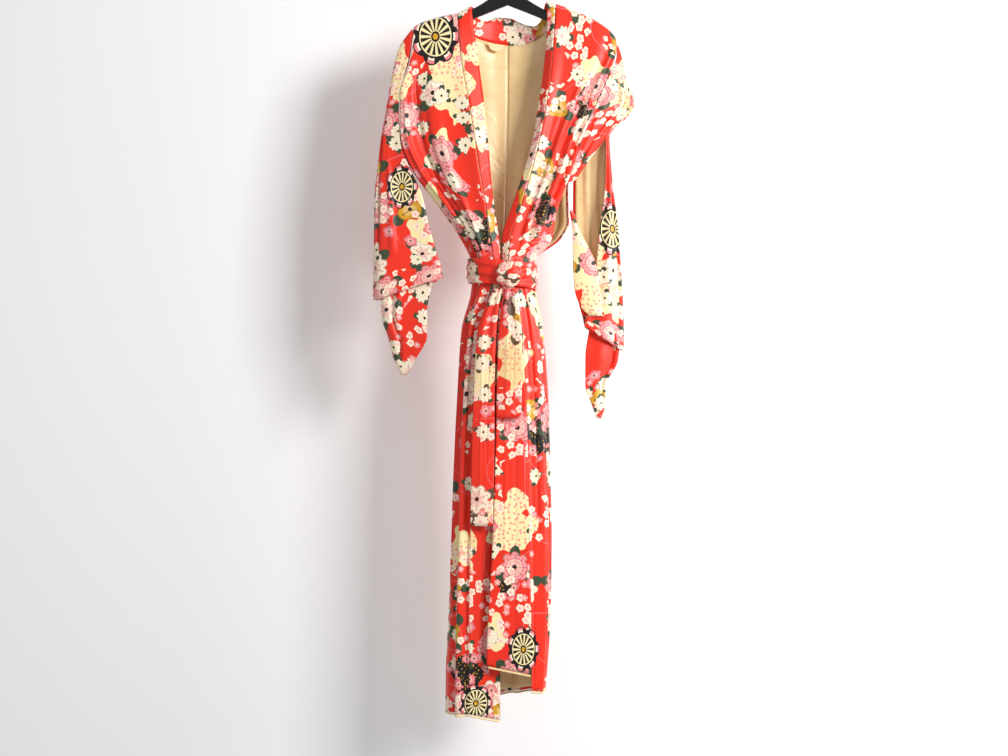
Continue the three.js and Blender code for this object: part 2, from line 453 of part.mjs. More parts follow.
// A mesh from points and triangles, turned so that its faces point out.
function closedMesh(name, finish, positions, faces) {
  const volume = faces.reduce((sum, [a, b, c]) => {
    return sum + positions[a].dot(positions[b].clone().cross(positions[c]));
  }, 0);
  const order = volume > 0 ? faces : faces.map(([a, b, c]) => [a, c, b]);
  const geometry = new THREE.BufferGeometry().setFromPoints(positions);
  geometry.setIndex(order.flat());
  geometry.computeVertexNormals();
  return meshOf(name, finish, geometry);
}

function meshOf(name, finish, geometry) {
  const mesh = new THREE.Mesh(geometry, finish);
  mesh.name = name;
  return mesh;
}

// A round roll along a path, such as the lining that edges a hem.
function roll(name, finish, points, radius, sides, steps) {
  const section = new THREE.Shape().setFromPoints(
    evenly(sides).slice(0, -1).map((t) => new THREE.Vector2(
      radius * Math.cos(2 * Math.PI * t),
      radius * Math.sin(2 * Math.PI * t),
    )),
  );
  const extrudePath = new THREE.CatmullRomCurve3(points);
  return meshOf(name, finish, new THREE.ExtrudeGeometry(section, { steps, extrudePath }));
}

// A hem's roll hangs just clear below the last row of its panel.
function hemRoll(name, surface, from, to) {
  const drop = new THREE.Vector3(0, 0, -(HEM_ROLL + 0.8));
  const line = evenly(10, from, to).map((u) => surface(u, 1).add(drop));
  return roll(name, LINING, line, HEM_ROLL, 6, 10);
}

const garment = new THREE.Group();
const PANEL_TRAVEL = ["zIn", "xOut", "yIn"];
const frontRight = smooth(FRONT_RIGHT, PANEL_TRAVEL);
const frontLeft = smooth(FRONT_LEFT, PANEL_TRAVEL);
const backRight = smooth(BACK_RIGHT, PANEL_TRAVEL);
const backLeft = smooth(BACK_LEFT, PANEL_TRAVEL);

// A panel of the body with its folds.
function addPanel(name, surface, curve, side, us) {
  const shape = folded(surface, curve, FOLDS[name], side);
  garment.add(wall(name, SILK, shape, us, stations(curve), CLOTH));
  return shape;
}

// The overlap below the belt, down to its hem at hemZ.
function addOverlap(name, curve, hemZ) {
  const surface = strip(curve, SEAM);
  const from = whereIs(curve, "zIn", BELT_Z - 2);
  const to = whereIs(curve, "zIn", hemZ);
  garment.add(wall(name, SILK, surface, evenly(3), stations(curve, from, to), CLOTH));
  const atHem = (u) => surface(u, to);
  garment.add(hemRoll(`hem_${name}`, atHem, 0.03, 0.97));
}

// A back panel's columns: one at each row of the neck's table, then five along the shoulder.
function backColumns(curve) {
  const { xIn, xOut } = curve.at(0);
  const across = NECK.map((row) => (row.xSeam - xIn) / (xOut - xIn)).filter((t) => t > 0.01);
  const neck = across.sort((a, b) => a - b).map((t) => (Math.asin(t) * 2) / Math.PI);
  return [0, ...neck, ...evenly(5, neck.at(-1), 1).slice(1)];
}

function addBody() {
  const rightFront = addPanel("front_right", panel(frontRight), frontRight, 1, evenly(8));
  const leftFront = addPanel("front_left", panel(frontLeft), frontLeft, -1, evenly(8));
  const [backs, linings] = [[], []];
  for (const [side, curve, front] of [["right", backRight, frontRight], ["left", backLeft, frontLeft]]) {
    const sign = side === "right" ? -1 : 1;
    const shape = centred(curve, sign);
    const us = backColumns(shape);
    const surface = backPanel(shape, front);
    backs.push(addPanel(`back_${side}`, surface, shape, sign, us));
    // The back's lining follows the folds of its panel, just inside it.
    const inner = folded(surface, shape, FOLDS[`back_${side}`], sign, -LINING_LIFT);
    const vs = stations(shape, shape.v[1] + 0.006, 0.995);
    const name = `lining_${side}`;
    linings.push(wall(name, LINING, inner, [0.004, ...us.slice(1, -1)], vs, LINING_WALL));
  }
  garment.add(...linings);
  garment.add(hemRoll("hem_front_right", rightFront, 0.03, 0.93));
  garment.add(hemRoll("hem_front_left", leftFront, 0.03, 0.93));
  garment.add(hemRoll("hem_back_right", backs[0], 0.03, 0.93));
  garment.add(hemRoll("hem_back_left", backs[1], 0.03, 0.93));
  addOverlap("overlap_right", frontRight, -1582);
  addOverlap("overlap_left", frontLeft, -1500);
}

// The two back panels stand half a seam either side of the centre line.
function centred(curve, side) {
  const at = (v) => {
    const row = curve.at(v);
    return { ...row, xIn: row.xIn + (side * SEAM) / 2 };
  };
  return { ...curve, at };
}

// The collar: up one front, round the back of the neck and down the other front.
function addCollar() {
  const side = (curve) => {
    const surface = strip(curve, COLLAR_SEAM);
    const end = whereIs(curve, "zIn", BELT_Z + 22);
    return stations(curve, 0, end).map((v) => [surface(1, v), surface(0, v)]);
  };
  const neck = NECK.map((row) => [
    new THREE.Vector3(row.xTop, row.yTop, row.zTop),
    new THREE.Vector3(row.xSeam, row.ySeam, row.zSeam),
  ]);
  const over = side(frontRight);
  const under = side(frontLeft);
  const line = [...over.reverse(), ...neck, ...under];
  const last = line.length - 1;
  const surface = (u, v) => {
    const where = clamp(v) * last;
    const i = Math.min(Math.floor(where), last - 1);
    const [freeA, seamA] = line[i];
    const [freeB, seamB] = line[i + 1];
    const free = freeA.clone().lerp(freeB, where - i);
    const seam = seamA.clone().lerp(seamB, where - i);
    return free.lerp(seam, u);
  };
  garment.add(wall("collar", SILK, surface, evenly(2), evenly(last), BAND));
}

function addSleeves() {
  const travel = ["z", "depth", "xFront"];
  const right = smooth(SLEEVE_RIGHT, travel);
  const left = smooth(SLEEVE_LEFT, travel);
  const us = evenly(10);
  for (const [name, curve, side, from, to, front] of [
    ["sleeve_right", right, 1, 8, 11, -0.06],
    ["sleeve_left", left, -1, 6, 10, 0.02],
  ]) {
    const outer = folded(sleeve(curve), curve, FOLDS[name], side);
    // The front and back layers are two solids, a hair apart at the fold, so that the hollow
    // between them stays open for the arm.
    garment.add(wall(name, SILK, outer, [...us.slice(0, 5), 0.486], stations(curve), CLOTH));
    garment.add(wall(`${name}_back`, SILK, outer, [0.514, ...us.slice(6)], stations(curve), CLOTH));
    const inner = folded(sleeve(curve), curve, FOLDS[name], side, -3);
    const rows = stations(curve, curve.v[from], curve.v[to]);
    garment.add(wall(`${name}_lining`, LINING, inner, [front, ...us.slice(1, -1), 0.98], rows, LINING_WALL));
  }
  const top = smooth(SLEEVE_TOP_LEFT, ["zOut", "xIn"]);
  const cap = folded(panel(top), top, FOLDS.sleeve_left, -1);
  garment.add(wall("sleeve_left_top", SILK, cap, evenly(6), stations(top), CLOTH));
  const turnback = smooth(TURNBACK, ["z"]);
  const flap = hangingStrip(turnback, -3);
  garment.add(wall("sleeve_left_turnback", LINING, flap, evenly(3), stations(turnback), CLOTH));
}

// The belt: the band round the waist, the knot over it and the two ends.
function addBelt() {
  const loop = (u, v) => {
    const angle = 2 * Math.PI * u;
    const swell = 1 + 0.03 * Math.sin(Math.PI * v);
    const squared = (t) => Math.sign(t) * Math.abs(t) ** 0.85;
    return new THREE.Vector3(
      BELT_CENTRE.x + BELT_RADII.x * swell * squared(Math.cos(angle)),
      BELT_CENTRE.y + BELT_RADII.y * swell * squared(Math.sin(angle)),
      BELT_Z - BELT_HEIGHT * (v - 0.5) - 7 * Math.cos(angle),
    );
  };
  garment.add(wall("belt_band", SILK_DARK, loop, evenly(28).slice(0, -1), evenly(2), BAND, true));

  const knot = new THREE.SphereGeometry(1, 14, 10);
  knot.scale(24, 11, 27);
  knot.rotateY(-0.35);
  knot.translate(2, -73, BELT_Z - 4);
  garment.add(meshOf("belt_knot", SILK, knot));

  for (const [name, rows] of [["belt_end_short", TAIL_SHORT], ["belt_end_long", TAIL_LONG]]) {
    const curve = smooth(rows, ["z"]);
    garment.add(wall(name, SILK, hangingStrip(curve, -2), evenly(3), stations(curve), BAND));
  }
}

// The hanger: two sloping arms of moulded plastic with a boss in the middle, and a wire hook.
function addHanger() {
  // Half of the outline, from the boss along the top of an arm, and back below it.
  const outline = new THREE.Shape();
  outline.moveTo(0, -66);
  outline.lineTo(14, -69);
  outline.quadraticCurveTo(34, -88, 68, -107);
  outline.quadraticCurveTo(122, -135, 182, -149);
  outline.quadraticCurveTo(199, -154, 196, -168);
  outline.quadraticCurveTo(188, -176, 178, -168);
  outline.quadraticCurveTo(128, -152, 78, -133);
  outline.quadraticCurveTo(36, -116, 0, -102);
  outline.quadraticCurveTo(-36, -116, -78, -133);
  outline.quadraticCurveTo(-128, -152, -178, -168);
  outline.quadraticCurveTo(-188, -176, -196, -168);
  outline.quadraticCurveTo(-199, -154, -182, -149);
  outline.quadraticCurveTo(-122, -135, -68, -107);
  outline.quadraticCurveTo(-34, -88, -14, -69);
  const bevel = 2;
  const body = new THREE.ExtrudeGeometry(outline, {
    depth: HANGER_THICKNESS - 2 * bevel,
    curveSegments: 5,
    bevelThickness: bevel,
    bevelSize: bevel,
    bevelOffset: -bevel,
    bevelSegments: 1,
  });
  body.translate(0, 0, bevel - HANGER_THICKNESS / 2);
  body.rotateX(Math.PI / 2);
  garment.add(meshOf("hanger", PLASTIC, body));

  const centreZ = HOOK_WIRE - HOOK_RADIUS;
  const bow = evenly(12, 0.89, -0.36).map((turn) => new THREE.Vector3(
    -HOOK_RADIUS * Math.cos(Math.PI * turn),
    0,
    centreZ + HOOK_RADIUS * Math.sin(Math.PI * turn),
  ));
  const shank = [new THREE.Vector3(0, 0, -54), new THREE.Vector3(0, 0, -64.5)];
  garment.add(roll("hanger_hook", STEEL, [...bow, ...shank], HOOK_WIRE, 6, 26));
}

// A plain tab of lining cloth below the collar, inside the back.
function addNeckTab() {
  const outline = new THREE.Shape();
  outline.moveTo(-44, -174);
  outline.lineTo(-6, -178);
  outline.lineTo(-14, -188);
  outline.lineTo(-24, -193);
  outline.lineTo(-38, -188);
  const tab = new THREE.ExtrudeGeometry(outline, { depth: 1.2, bevelEnabled: false });
  tab.rotateX(Math.PI / 2);
  tab.rotateZ(0.21);
  tab.translate(0, 38, 0);
  garment.add(meshOf("neck_tab", LINING, tab));
}

addBody();
addCollar();
addSleeves();
addBelt();
addHanger();
addNeckTab();

export default garment;
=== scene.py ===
"""A lined silk kimono robe on a coat hanger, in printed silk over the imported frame.

Sizes in the tables are millimetres, +Z up, the front faces -Y and +X is the wearer's left.
"""
import math

import bpy
import numpy as np
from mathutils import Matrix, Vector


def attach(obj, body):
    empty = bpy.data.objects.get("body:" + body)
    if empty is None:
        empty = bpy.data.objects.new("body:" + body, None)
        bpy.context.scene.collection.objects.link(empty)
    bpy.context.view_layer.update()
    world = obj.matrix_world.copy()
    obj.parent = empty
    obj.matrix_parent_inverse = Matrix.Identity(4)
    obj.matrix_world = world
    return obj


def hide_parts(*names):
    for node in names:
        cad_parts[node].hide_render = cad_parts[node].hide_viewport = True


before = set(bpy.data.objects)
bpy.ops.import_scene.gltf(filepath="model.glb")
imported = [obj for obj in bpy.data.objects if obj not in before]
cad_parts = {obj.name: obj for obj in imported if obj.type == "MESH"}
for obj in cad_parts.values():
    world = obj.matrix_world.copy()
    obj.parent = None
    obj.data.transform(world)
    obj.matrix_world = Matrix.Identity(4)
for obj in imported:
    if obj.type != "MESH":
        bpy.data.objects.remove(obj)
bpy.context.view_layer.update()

bl_info = {
    "name": "Silk kimono",
    "version": (1, 0, 0),
    "blender": (4, 5, 0),
    "location": "View3D > Sidebar > Kimono",
    "description": "Builds a lined silk kimono robe that hangs on a coat hanger",
    "category": "Add Mesh",
}

MM = 0.001
# The wall behind the robe, in metres.
WALL_Y = 0.24


class KimonoSettings(bpy.types.PropertyGroup):
    cloth: bpy.props.FloatProperty(name="Cloth (mm)", default=1.3, min=0.5, max=3)
    band: bpy.props.FloatProperty(name="Doubled cloth (mm)", default=2.2, min=0.5, max=4)
    lining: bpy.props.FloatProperty(name="Lining (mm)", default=0.9, min=0.5, max=3)
    fineness: bpy.props.FloatProperty(name="Row spacing (mm)", default=9, min=3, max=40)
    red: bpy.props.StringProperty(name="Ground", default="#F02E14")
    shade_red: bpy.props.StringProperty(name="Deeper ground", default="#CC2410")
    cream: bpy.props.StringProperty(name="Cream", default="#F4E0A8")
    pale: bpy.props.StringProperty(name="Pale petals", default="#FBEBD0")
    pink: bpy.props.StringProperty(name="Pink", default="#EE7F86")
    gold: bpy.props.StringProperty(name="Gold", default="#D29A22")
    ink: bpy.props.StringProperty(name="Ink", default="#15100F")
    leaf: bpy.props.StringProperty(name="Leaves", default="#39462E")
    lining_tone: bpy.props.StringProperty(name="Lining", default="#F2D39A")
    plastic: bpy.props.StringProperty(name="Hanger", default="#0C0C0D")


def rows(names, *table):
    """Rows with named columns, one row for each height of a piece."""
    keys = names.split()
    return [dict(zip(keys, row)) for row in table]


# zIn, xIn, yIn are the edge nearer the middle and zOut, xOut, yOut the side edge. round is 0 for a
# flat stretch and 1 for a quarter of an ellipse, and fold is the depth of the folds. band, turn and
# rise are the reach of the collar, or below the belt of the overlap, sideways, inwards and up.
FRONT_RIGHT = rows(
    "zIn xIn yIn zOut xOut yOut round fold band turn rise",
    (-119, -106, -1, -151, -198, -1, 0, 0, 29, 0, 14),
    (-126, -106, -10, -158, -198, -10, 0, 0, 30, 1, 12),
    (-217, -99, -18, -226, -206, -12, 0, 1.5, 37, 9, 0),
    (-302, -84, -27, -293, -226, -14, 0, 4, 33, 12, 0),
    (-376, -72, -35, -386, -224, -16, 0.2, 5, 29, 12, 0),
    (-460, -59, -43, -445, -203, -13, 0.5, 6, 23, 12, 0),
    (-534, -46, -48, -519, -148, -6, 0.8, 6, 18, 11, 0),
    (-597, -38, -49, -591, -99, -2, 1, 4.5, 19, 9, 0),
    (-644, -31, -47, -644, -76, -1, 1, 2.5, 15, 7, 0),
    (-677, -32, -47, -677, -74, -1, 1, 2, 15, 5, 0),
    (-707, -38, -49, -707, -76, -1, 1, 2.5, 22, 7, 0),
    (-787, -58, -54, -790, -95, -1, 1, 5, 44, 10, 0),
    (-935, -70, -57, -935, -103, -1, 1, 7, 56, 12, 0),
    (-1082, -75, -59, -1082, -110, -1, 1, 8, 59, 13, 0),
    (-1230, -78, -61, -1230, -114, -1, 1, 8, 60, 14, 0),
    (-1378, -80, -63, -1378, -120, -1, 1, 9, 62, 15, -2),
    (-1504, -80, -65, -1504, -126, -1, 1, 9, 64, 16, -10),
    (-1582, -80, -66, -1584, -127, -1, 1, 9, 64, 16, -16),
)
FRONT_LEFT = rows(
    "zIn xIn yIn zOut xOut yOut round fold band turn rise",
    (-99, 101, -1, -177, 228, -1, 0, 0, -18, 0, 4),
    (-106, 101, -10, -184, 228, -10, 0, 0, -19, 1, 3),
    (-175, 97, -17, -206, 227, -11, 0, 1.5, -15, 12, 0),
    (-249, 91, -24, -260, 207, -14, 0, 3, -17, 14, 0),
    (-323, 80, -31, -329, 177, -17, 0.1, 4, -17, 14, 0),
    (-376, 70, -36, -390, 152, -19, 0.3, 5, -15, 13, 0),
    (-439, 55, -42, -450, 133, -20, 0.5, 5, -16, 12, 0),
    (-492, 40, -46, -505, 112, -16, 0.7, 5, -18, 10, 0),
    (-544, 23, -48, -546, 98, -9, 0.9, 5, -19, 10, 0),
    (-595, 6, -49, -597, 90, -3, 1, 4.5, -18, 9, 0),
    (-644, 2, -47, -644, 55, -1, 1, 2.5, -13, 7, 0),
    (-677, 8, -47, -677, 53, -1, 1, 2, -19, -1, 0),
    (-707, 14, -50, -707, 57, -1, 1, 2.5, -31, -3, 0),
    (-787, 25, -57, -787, 70, -1, 1, 5, -46, -5, 0),
    (-935, 38, -62, -935, 80, -1, 1, 7, -61, -5, 0),
    (-1082, 42, -64, -1082, 84, -1, 1, 8, -69, -5, 0),
    (-1230, 44, -66, -1230, 87, -1, 1, 8, -76, -5, 0),
    (-1378, 48, -68, -1378, 85, -1, 1, 8, -88, -5, 8),
    (-1500, 49, -69, -1500, 78, -1, 1, 8, -93, -5, 20),
    (-1533, 49, -69, -1540, 74, -1, 1, 8, -93, -5, 20),
)
BACK_RIGHT = rows(
    "zIn xIn yIn zOut xOut yOut round fold",
    (-170, 0, 46, -151, -198, 1, 0.5, 0),
    (-177, 0, 47, -158, -198, 10, 0.5, 0),
    (-217, 0, 48, -226, -206, 12, 0.5, 1.5),
    (-302, 0, 50, -293, -226, 14, 0.5, 3),
    (-376, -2, 52, -386, -222, 16, 0.6, 4),
    (-460, -4, 52, -445, -199, 13, 0.8, 5),
    (-534, -7, 51, -519, -146, 6, 1, 5),
    (-597, -10, 47, -591, -99, 2, 1, 4),
    (-644, -12, 43, -644, -76, 1, 1, 2.5),
    (-677, -12, 42, -677, -74, 1, 1, 2),
    (-707, -12, 43, -707, -76, 1, 1, 2.5),
    (-787, -14, 49, -790, -95, 1, 1, 5),
    (-935, -16, 54, -935, -103, 1, 1, 7),
    (-1082, -17, 58, -1082, -110, 1, 1, 8),
    (-1230, -18, 60, -1230, -114, 1, 1, 8),
    (-1378, -20, 62, -1378, -120, 1, 1, 9),
    (-1504, -21, 64, -1504, -126, 1, 1, 9),
    (-1566, -21, 64, -1584, -127, 1, 1, 9),
)
BACK_LEFT = rows(
    "zIn xIn yIn zOut xOut yOut round fold",
    (-170, 0, 46, -177, 228, 1, 0.5, 0),
    (-177, 0, 47, -184, 228, 10, 0.5, 0),
    (-217, 0, 48, -226, 221, 12, 0.5, 1.5),
    (-290, 0, 50, -300, 191, 14, 0.5, 3),
    (-335, 0, 51, -340, 172, 16, 0.6, 4),
    (-376, -1, 52, -390, 150, 19, 0.7, 4.5),
    (-439, -3, 52, -450, 130, 20, 0.8, 5),
    (-492, -5, 52, -505, 127, 14, 1, 5),
    (-544, -7, 51, -556, 129, 8, 1, 5),
    (-597, -10, 47, -592, 112, 3, 1, 4),
    (-644, -12, 43, -644, 55, 1, 1, 2.5),
    (-677, -12, 42, -677, 53, 1, 1, 2),
    (-707, -12, 43, -707, 57, 1, 1, 2.5),
    (-787, -14, 49, -787, 70, 1, 1, 5),
    (-935, -16, 54, -935, 80, 1, 1, 7),
    (-1082, -17, 58, -1082, 84, 1, 1, 8),
    (-1230, -18, 60, -1230, 87, 1, 1, 8),
    (-1378, -20, 62, -1378, 85, 1, 1, 9),
    (-1500, -21, 64, -1500, 78, 1, 1, 9),
    (-1566, -21, 64, -1542, 74, 1, 1, 9),
)
SLEEVE_RIGHT = rows(
    "z tilt xFront xFold xBack y depth fold",
    (-158, 0.9, -199, -205, -199, 0, 8, 0),
    (-168, 0.8, -198, -213, -198, 0, 9, 0),
    (-190, 0.5, -201, -227, -201, 0, 10, 1),
    (-226, 0.2, -208, -237, -208, 0, 12, 2),
    (-266, 0, -221, -245, -225, 0, 13, 2),
    (-323, 0, -227, -255, -229, 0, 14, 2),
    (-386, 0, -225, -266, -224, 0, 16, 4),
    (-439, 0, -208, -272, -206, 0, 18, 5),
    (-504, 0, -178, -279, -186, 0, 22, 6),
    (-563, 0, -165, -280, -172, 0, 23, 6),
    (-630, 0.08, -149, -281, -160, 0, 24, 6),
    (-692, 0.26, -138, -282, -152, 0, 24, 5),
    (-724, 0.31, -134, -282, -148, 0, 24, 4),
    (-713, 0.31, -142, -276, -156, 0, 18, 2),
    (-690, 0.3, -150, -270, -160, 0, 14, 1),
    (-706, 0.28, -154, -267, -164, 0, 10, 1),
    (-760, 0.1, -168, -264, -172, 0, 12, 3),
    (-800, 0, -168, -251, -172, 0, 13, 3),
    (-848, 0, -192, -238, -194, 0, 9, 2),
    (-882, 0, -211, -223, -212, 0, 5, 0),
)
SLEEVE_LEFT = rows(
    "z tilt xFront xFold xBack y depth fold",
    (-190, 0, 229, 233, 228, 5, 4, 0),
    (-206, 0, 233, 238, 229, 6, 5, 0),
    (-260, 0, 245, 250, 210, 7, 6, 0),
    (-311, 0, 261, 266, 187, 8, 7, 0),
    (-344, 0, 236, 243, 172, 9, 8, 1),
    (-378, 0, 206, 213, 157, 12, 11, 1),
    (-428, 0, 206, 216, 140, 18, 15, 2),
    (-490, 0, 204, 222, 138, 26, 17, 4),
    (-565, 0, 194, 232, 138, 30, 18, 5),
    (-648, 0, 186, 238, 140, 30, 18, 5),
    (-724, -0.1, 180, 243, 148, 30, 19, 5),
    (-796, -0.4, 164, 245, 160, 30, 20, 4),
    (-832, -0.65, 160, 245, 164, 30, 20, 3),
    (-820, -0.62, 168, 240, 172, 30, 14, 2),
    (-797, -0.5, 174, 236, 178, 30, 10, 1),
    (-815, -0.35, 170, 236, 174, 30, 7, 1),
    (-850, -0.1, 163, 233, 166, 30, 10, 3),
    (-905, 0, 163, 207, 165, 30, 11, 3),
    (-945, 0, 177, 206, 178, 30, 8, 2),
    (-974, 0, 187, 197, 188, 30, 5, 0),
)
SLEEVE_TOP_LEFT = rows(
    "zIn xIn yIn zOut xOut yOut round fold",
    (-188, 229, -9, -190, 233, -4, 0, 0),
    (-207, 229, -11, -206, 238, -3, 0, 0),
    (-260, 209, -15, -260, 250, -3, 0.3, 1),
    (-298, 192, -17, -311, 267, -3, 0.3, 2),
    (-340, 175, -19, -343, 241, -5, 0.3, 3),
    (-395, 153, -21, -385, 203, -10, 0.2, 2),
    (-440, 139, -22, -428, 172, -16, 0, 1),
    (-478, 126, -22, -472, 143, -20, 0, 0),
)
TURNBACK = rows(
    "z left right y",
    (-534, 131, 137, 12),
    (-575, 137, 152, 10),
    (-648, 138, 186, 7),
    (-700, 141, 194, 5),
    (-742, 157, 202, 5),
    (-757, 176, 204, 6),
)
NECK = rows(
    "xTop yTop zTop xSeam ySeam zSeam",
    (-73, 9, -104, -104, 10, -123),
    (-64, 24, -124, -92, 20, -150),
    (-46, 36, -127, -60, 33, -161),
    (-24, 42, -117, -28, 43, -168),
    (2, 44, -118, 0, 46, -171),
    (30, 42, -130, 30, 43, -172),
    (56, 34, -138, 62, 32, -163),
    (72, 22, -128, 90, 19, -144),
    (79, 9, -96, 99, 10, -110),
)
TAIL_SHORT = rows(
    "z left right y",
    (-704, -7, 14, -72),
    (-740, -13, 22, -75),
    (-787, -18, 28, -76),
    (-870, -22, 29, -76),
    (-971, -24, 27, -77),
)
TAIL_LONG = rows(
    "z left right y",
    (-704, -30, -12, -64),
    (-740, -46, -19, -67),
    (-790, -62, -24, -70),
    (-870, -68, -27, -73),
    (-1030, -74, -28, -75),
    (-1192, -77, -31, -77),
)

# Waves across each panel, and its main creases as listed: where across and down it they run, how
# far they drift across on the way, and their width and depth. Creases with depth < 0 are troughs.
WAVES = {
    "front_right": (2, 0.35, 0.1), "front_left": (2, 0.1, 0.12),
    "back_right": (2.5, 0.0, 0.1), "back_left": (2.5, 0.55, 0.12),
    "sleeve_right": (2.5, 0.2, 0.1), "sleeve_left": (2.5, 0.6, 0.1),
    "plain": (1.5, 0.3, 0.1),
}
CREASES = {
    "front_right": rows("at down end drift width depth",
        (0.62, 0.06, 0.36, -0.28, 0.030, -3.4), (0.80, 0.10, 0.38, -0.30, 0.036, 3.0),
        (0.45, 0.12, 0.37, -0.16, 0.024, -2.6), (0.30, 0.14, 0.38, -0.06, 0.020, 2.2),
        (0.93, 0.16, 0.34, -0.12, 0.030, -3.0), (0.55, 0.22, 0.38, -0.14, 0.016, 1.8),
        (0.22, 0.38, 0.72, 0.02, 0.020, -2.6), (0.42, 0.37, 0.98, 0.05, 0.024, -3.2),
        (0.66, 0.39, 0.86, 0.03, 0.022, 2.6), (0.84, 0.40, 0.99, -0.03, 0.020, -2.4)),
    "front_left": rows("at down end drift width depth",
        (0.78, 0.04, 0.38, -0.42, 0.040, 4.0), (0.62, 0.07, 0.37, -0.34, 0.030, -4.2),
        (0.90, 0.12, 0.38, -0.36, 0.028, -3.2), (0.40, 0.09, 0.37, -0.20, 0.026, 2.8),
        (0.26, 0.16, 0.38, -0.10, 0.020, -2.4), (0.70, 0.22, 0.38, -0.12, 0.018, 2.0),
        (0.30, 0.38, 0.80, 0.03, 0.022, -2.6), (0.55, 0.37, 0.98, -0.04, 0.026, 3.0),
        (0.76, 0.40, 0.97, 0.03, 0.020, -2.8)),
    "back_right": rows("at down end drift width depth",
        (0.20, 0.08, 0.36, -0.06, 0.030, -3.0), (0.50, 0.06, 0.36, -0.20, 0.034, 3.4),
        (0.74, 0.12, 0.37, -0.26, 0.028, -3.2), (0.35, 0.37, 0.95, 0.04, 0.024, -3.0),
        (0.62, 0.38, 0.99, -0.03, 0.022, 2.6)),
    "back_left": rows("at down end drift width depth",
        (0.26, 0.10, 0.36, -0.08, 0.028, 2.8), (0.58, 0.07, 0.37, -0.24, 0.034, -3.4),
        (0.80, 0.14, 0.37, -0.22, 0.024, 2.6), (0.30, 0.38, 0.90, 0.02, 0.022, -2.8),
        (0.70, 0.37, 0.99, -0.05, 0.024, 2.8)),
    "sleeve_right": rows("at down end drift width depth",
        (0.34, 0.08, 0.60, 0.03, 0.016, -5.0), (0.22, 0.30, 0.61, 0.02, 0.020, 2.4),
        (0.70, 0.20, 0.60, -0.04, 0.020, -3.0), (0.30, 0.70, 0.97, -0.06, 0.020, -3.4),
        (0.18, 0.68, 0.90, 0.08, 0.016, 2.2)),
    "sleeve_left": rows("at down end drift width depth",
        (0.40, 0.20, 0.62, -0.03, 0.016, -3.0), (0.76, 0.24, 0.60, 0.03, 0.018, 3.0),
        (0.88, 0.22, 0.58, 0.02, 0.016, -2.6), (0.64, 0.26, 0.60, 0.02, 0.014, 2.4),
        (0.30, 0.72, 0.96, 0.05, 0.020, -2.8)),
    "plain": rows("at down end drift width depth",
        (0.35, 0.05, 0.95, 0.05, 0.030, -1.4), (0.72, 0.15, 0.80, -0.08, 0.026, 1.2)),
}

# The large motifs of the front, one by one: middle, radius across, and height to width.
WHEELS = rows("x z size tall",
    (-152, -171, 50, 1.25), (-222, -487, 34, 1.4), (222, -572, 36, 1.6), (32, -1447, 34, 1.4), (-66, -1560, 34, 1.2))
CLOUDS = rows("x z size tall",
    (-118, -268, 42, 1.7), (-59, -362, 26, 2.0), (-145, -412, 26, 1.6), (-72, -205, 18, 1.5), (245, -280, 46, 1.2),
    (180, -258, 26, 1.9), (61, -475, 24, 2.8), (163, -640, 40, 2.4), (-166, -545, 26, 2.4), (-228, -270, 24, 2.0),
    (205, -700, 42, 1.7), (12, -850, 34, 1.5), (-52, -880, 30, 1.5), (4, -1190, 50, 1.3), (-92, -1240, 26, 1.8),
    (62, -740, 22, 1.6), (-232, -215, 20, 1.8), (-186, -590, 22, 2.2), (48, -470, 24, 1.8), (-30, -1420, 24, 1.6))
CARTOUCHES = rows("x z size tall",
    (-53, -590, 30, 1.3), (76, -540, 26, 1.4), (72, -1000, 34, 1.5), (-84, -1500, 34, 1.3), (8, -735, 18, 1.6),
    (-2, -1310, 20, 1.5), (158, -330, 18, 1.6))

BELT_Z = -670
SEAM = 0.15
COLLAR_SEAM = 1.5
# The roll of lining at a hem: its radius, and its centre below the panel's edge.
HEM_ROLL = 2.2
HEM_DROP = np.array([0, 0, -3.0])
# The placed wheels, clouds and cartouches are printed on what lies in front of this depth.
FRONT_REACH = 28
# How far inside the back the lining lies, and how strongly it takes the creases.
LINING_LIFT = -3.4
LINING_CREASES = 1.6


def mix(a, b, t):
    return a + (b - a) * t


def clamp(t):
    return min(1.0, max(0.0, t))


def ease(t):
    t = clamp(t)
    return t * t * (3 - 2 * t)


class Curve:
    """A table's columns as smooth curves that never overshoot a row, v running from 0 to 1."""

    def __init__(self, table, measured, shift=None):
        self.names = list(table[0])
        self.data = np.array([[row[n] for n in self.names] for row in table], float)
        if shift:
            self.data[:, self.names.index("xIn")] += shift
        picked = self.data[:, [self.names.index(n) for n in measured]]
        steps = np.linalg.norm(np.diff(picked, axis=0), axis=1)
        self.length = steps.sum()
        self.v = np.concatenate([[0], np.cumsum(steps)]) / self.length
        span = np.diff(self.v)[:, None]
        rise = np.diff(self.data, axis=0) / span
        inner = rise[:-1] * rise[1:]
        total = rise[:-1] + rise[1:]
        total[total == 0] = 1
        middle = np.where(inner <= 0, 0, 2 * inner / total)
        self.slopes = np.vstack([rise[:1], middle, rise[-1:]])

    def at(self, v):
        t = clamp(v)
        i = min(max(int(np.searchsorted(self.v, t)) - 1, 0), len(self.v) - 2)
        span = self.v[i + 1] - self.v[i]
        s = (t - self.v[i]) / span
        a, b = self.data[i], self.data[i + 1]
        ends = self.slopes[i] * s * (1 - s) ** 2 - self.slopes[i + 1] * s * s * (1 - s)
        return dict(zip(self.names, a + (b - a) * s * s * (3 - 2 * s) + span * ends))

    def where(self, name, value):
        low, high = 0.0, 1.0
        for _ in range(40):
            middle = (low + high) / 2
            if self.at(middle)[name] > value:
                low = middle
            else:
                high = middle
        return high


def shoulder_fall(t):
    return mix(t, 1 - math.sqrt(max(0, 1 - t * t)), 0.5)


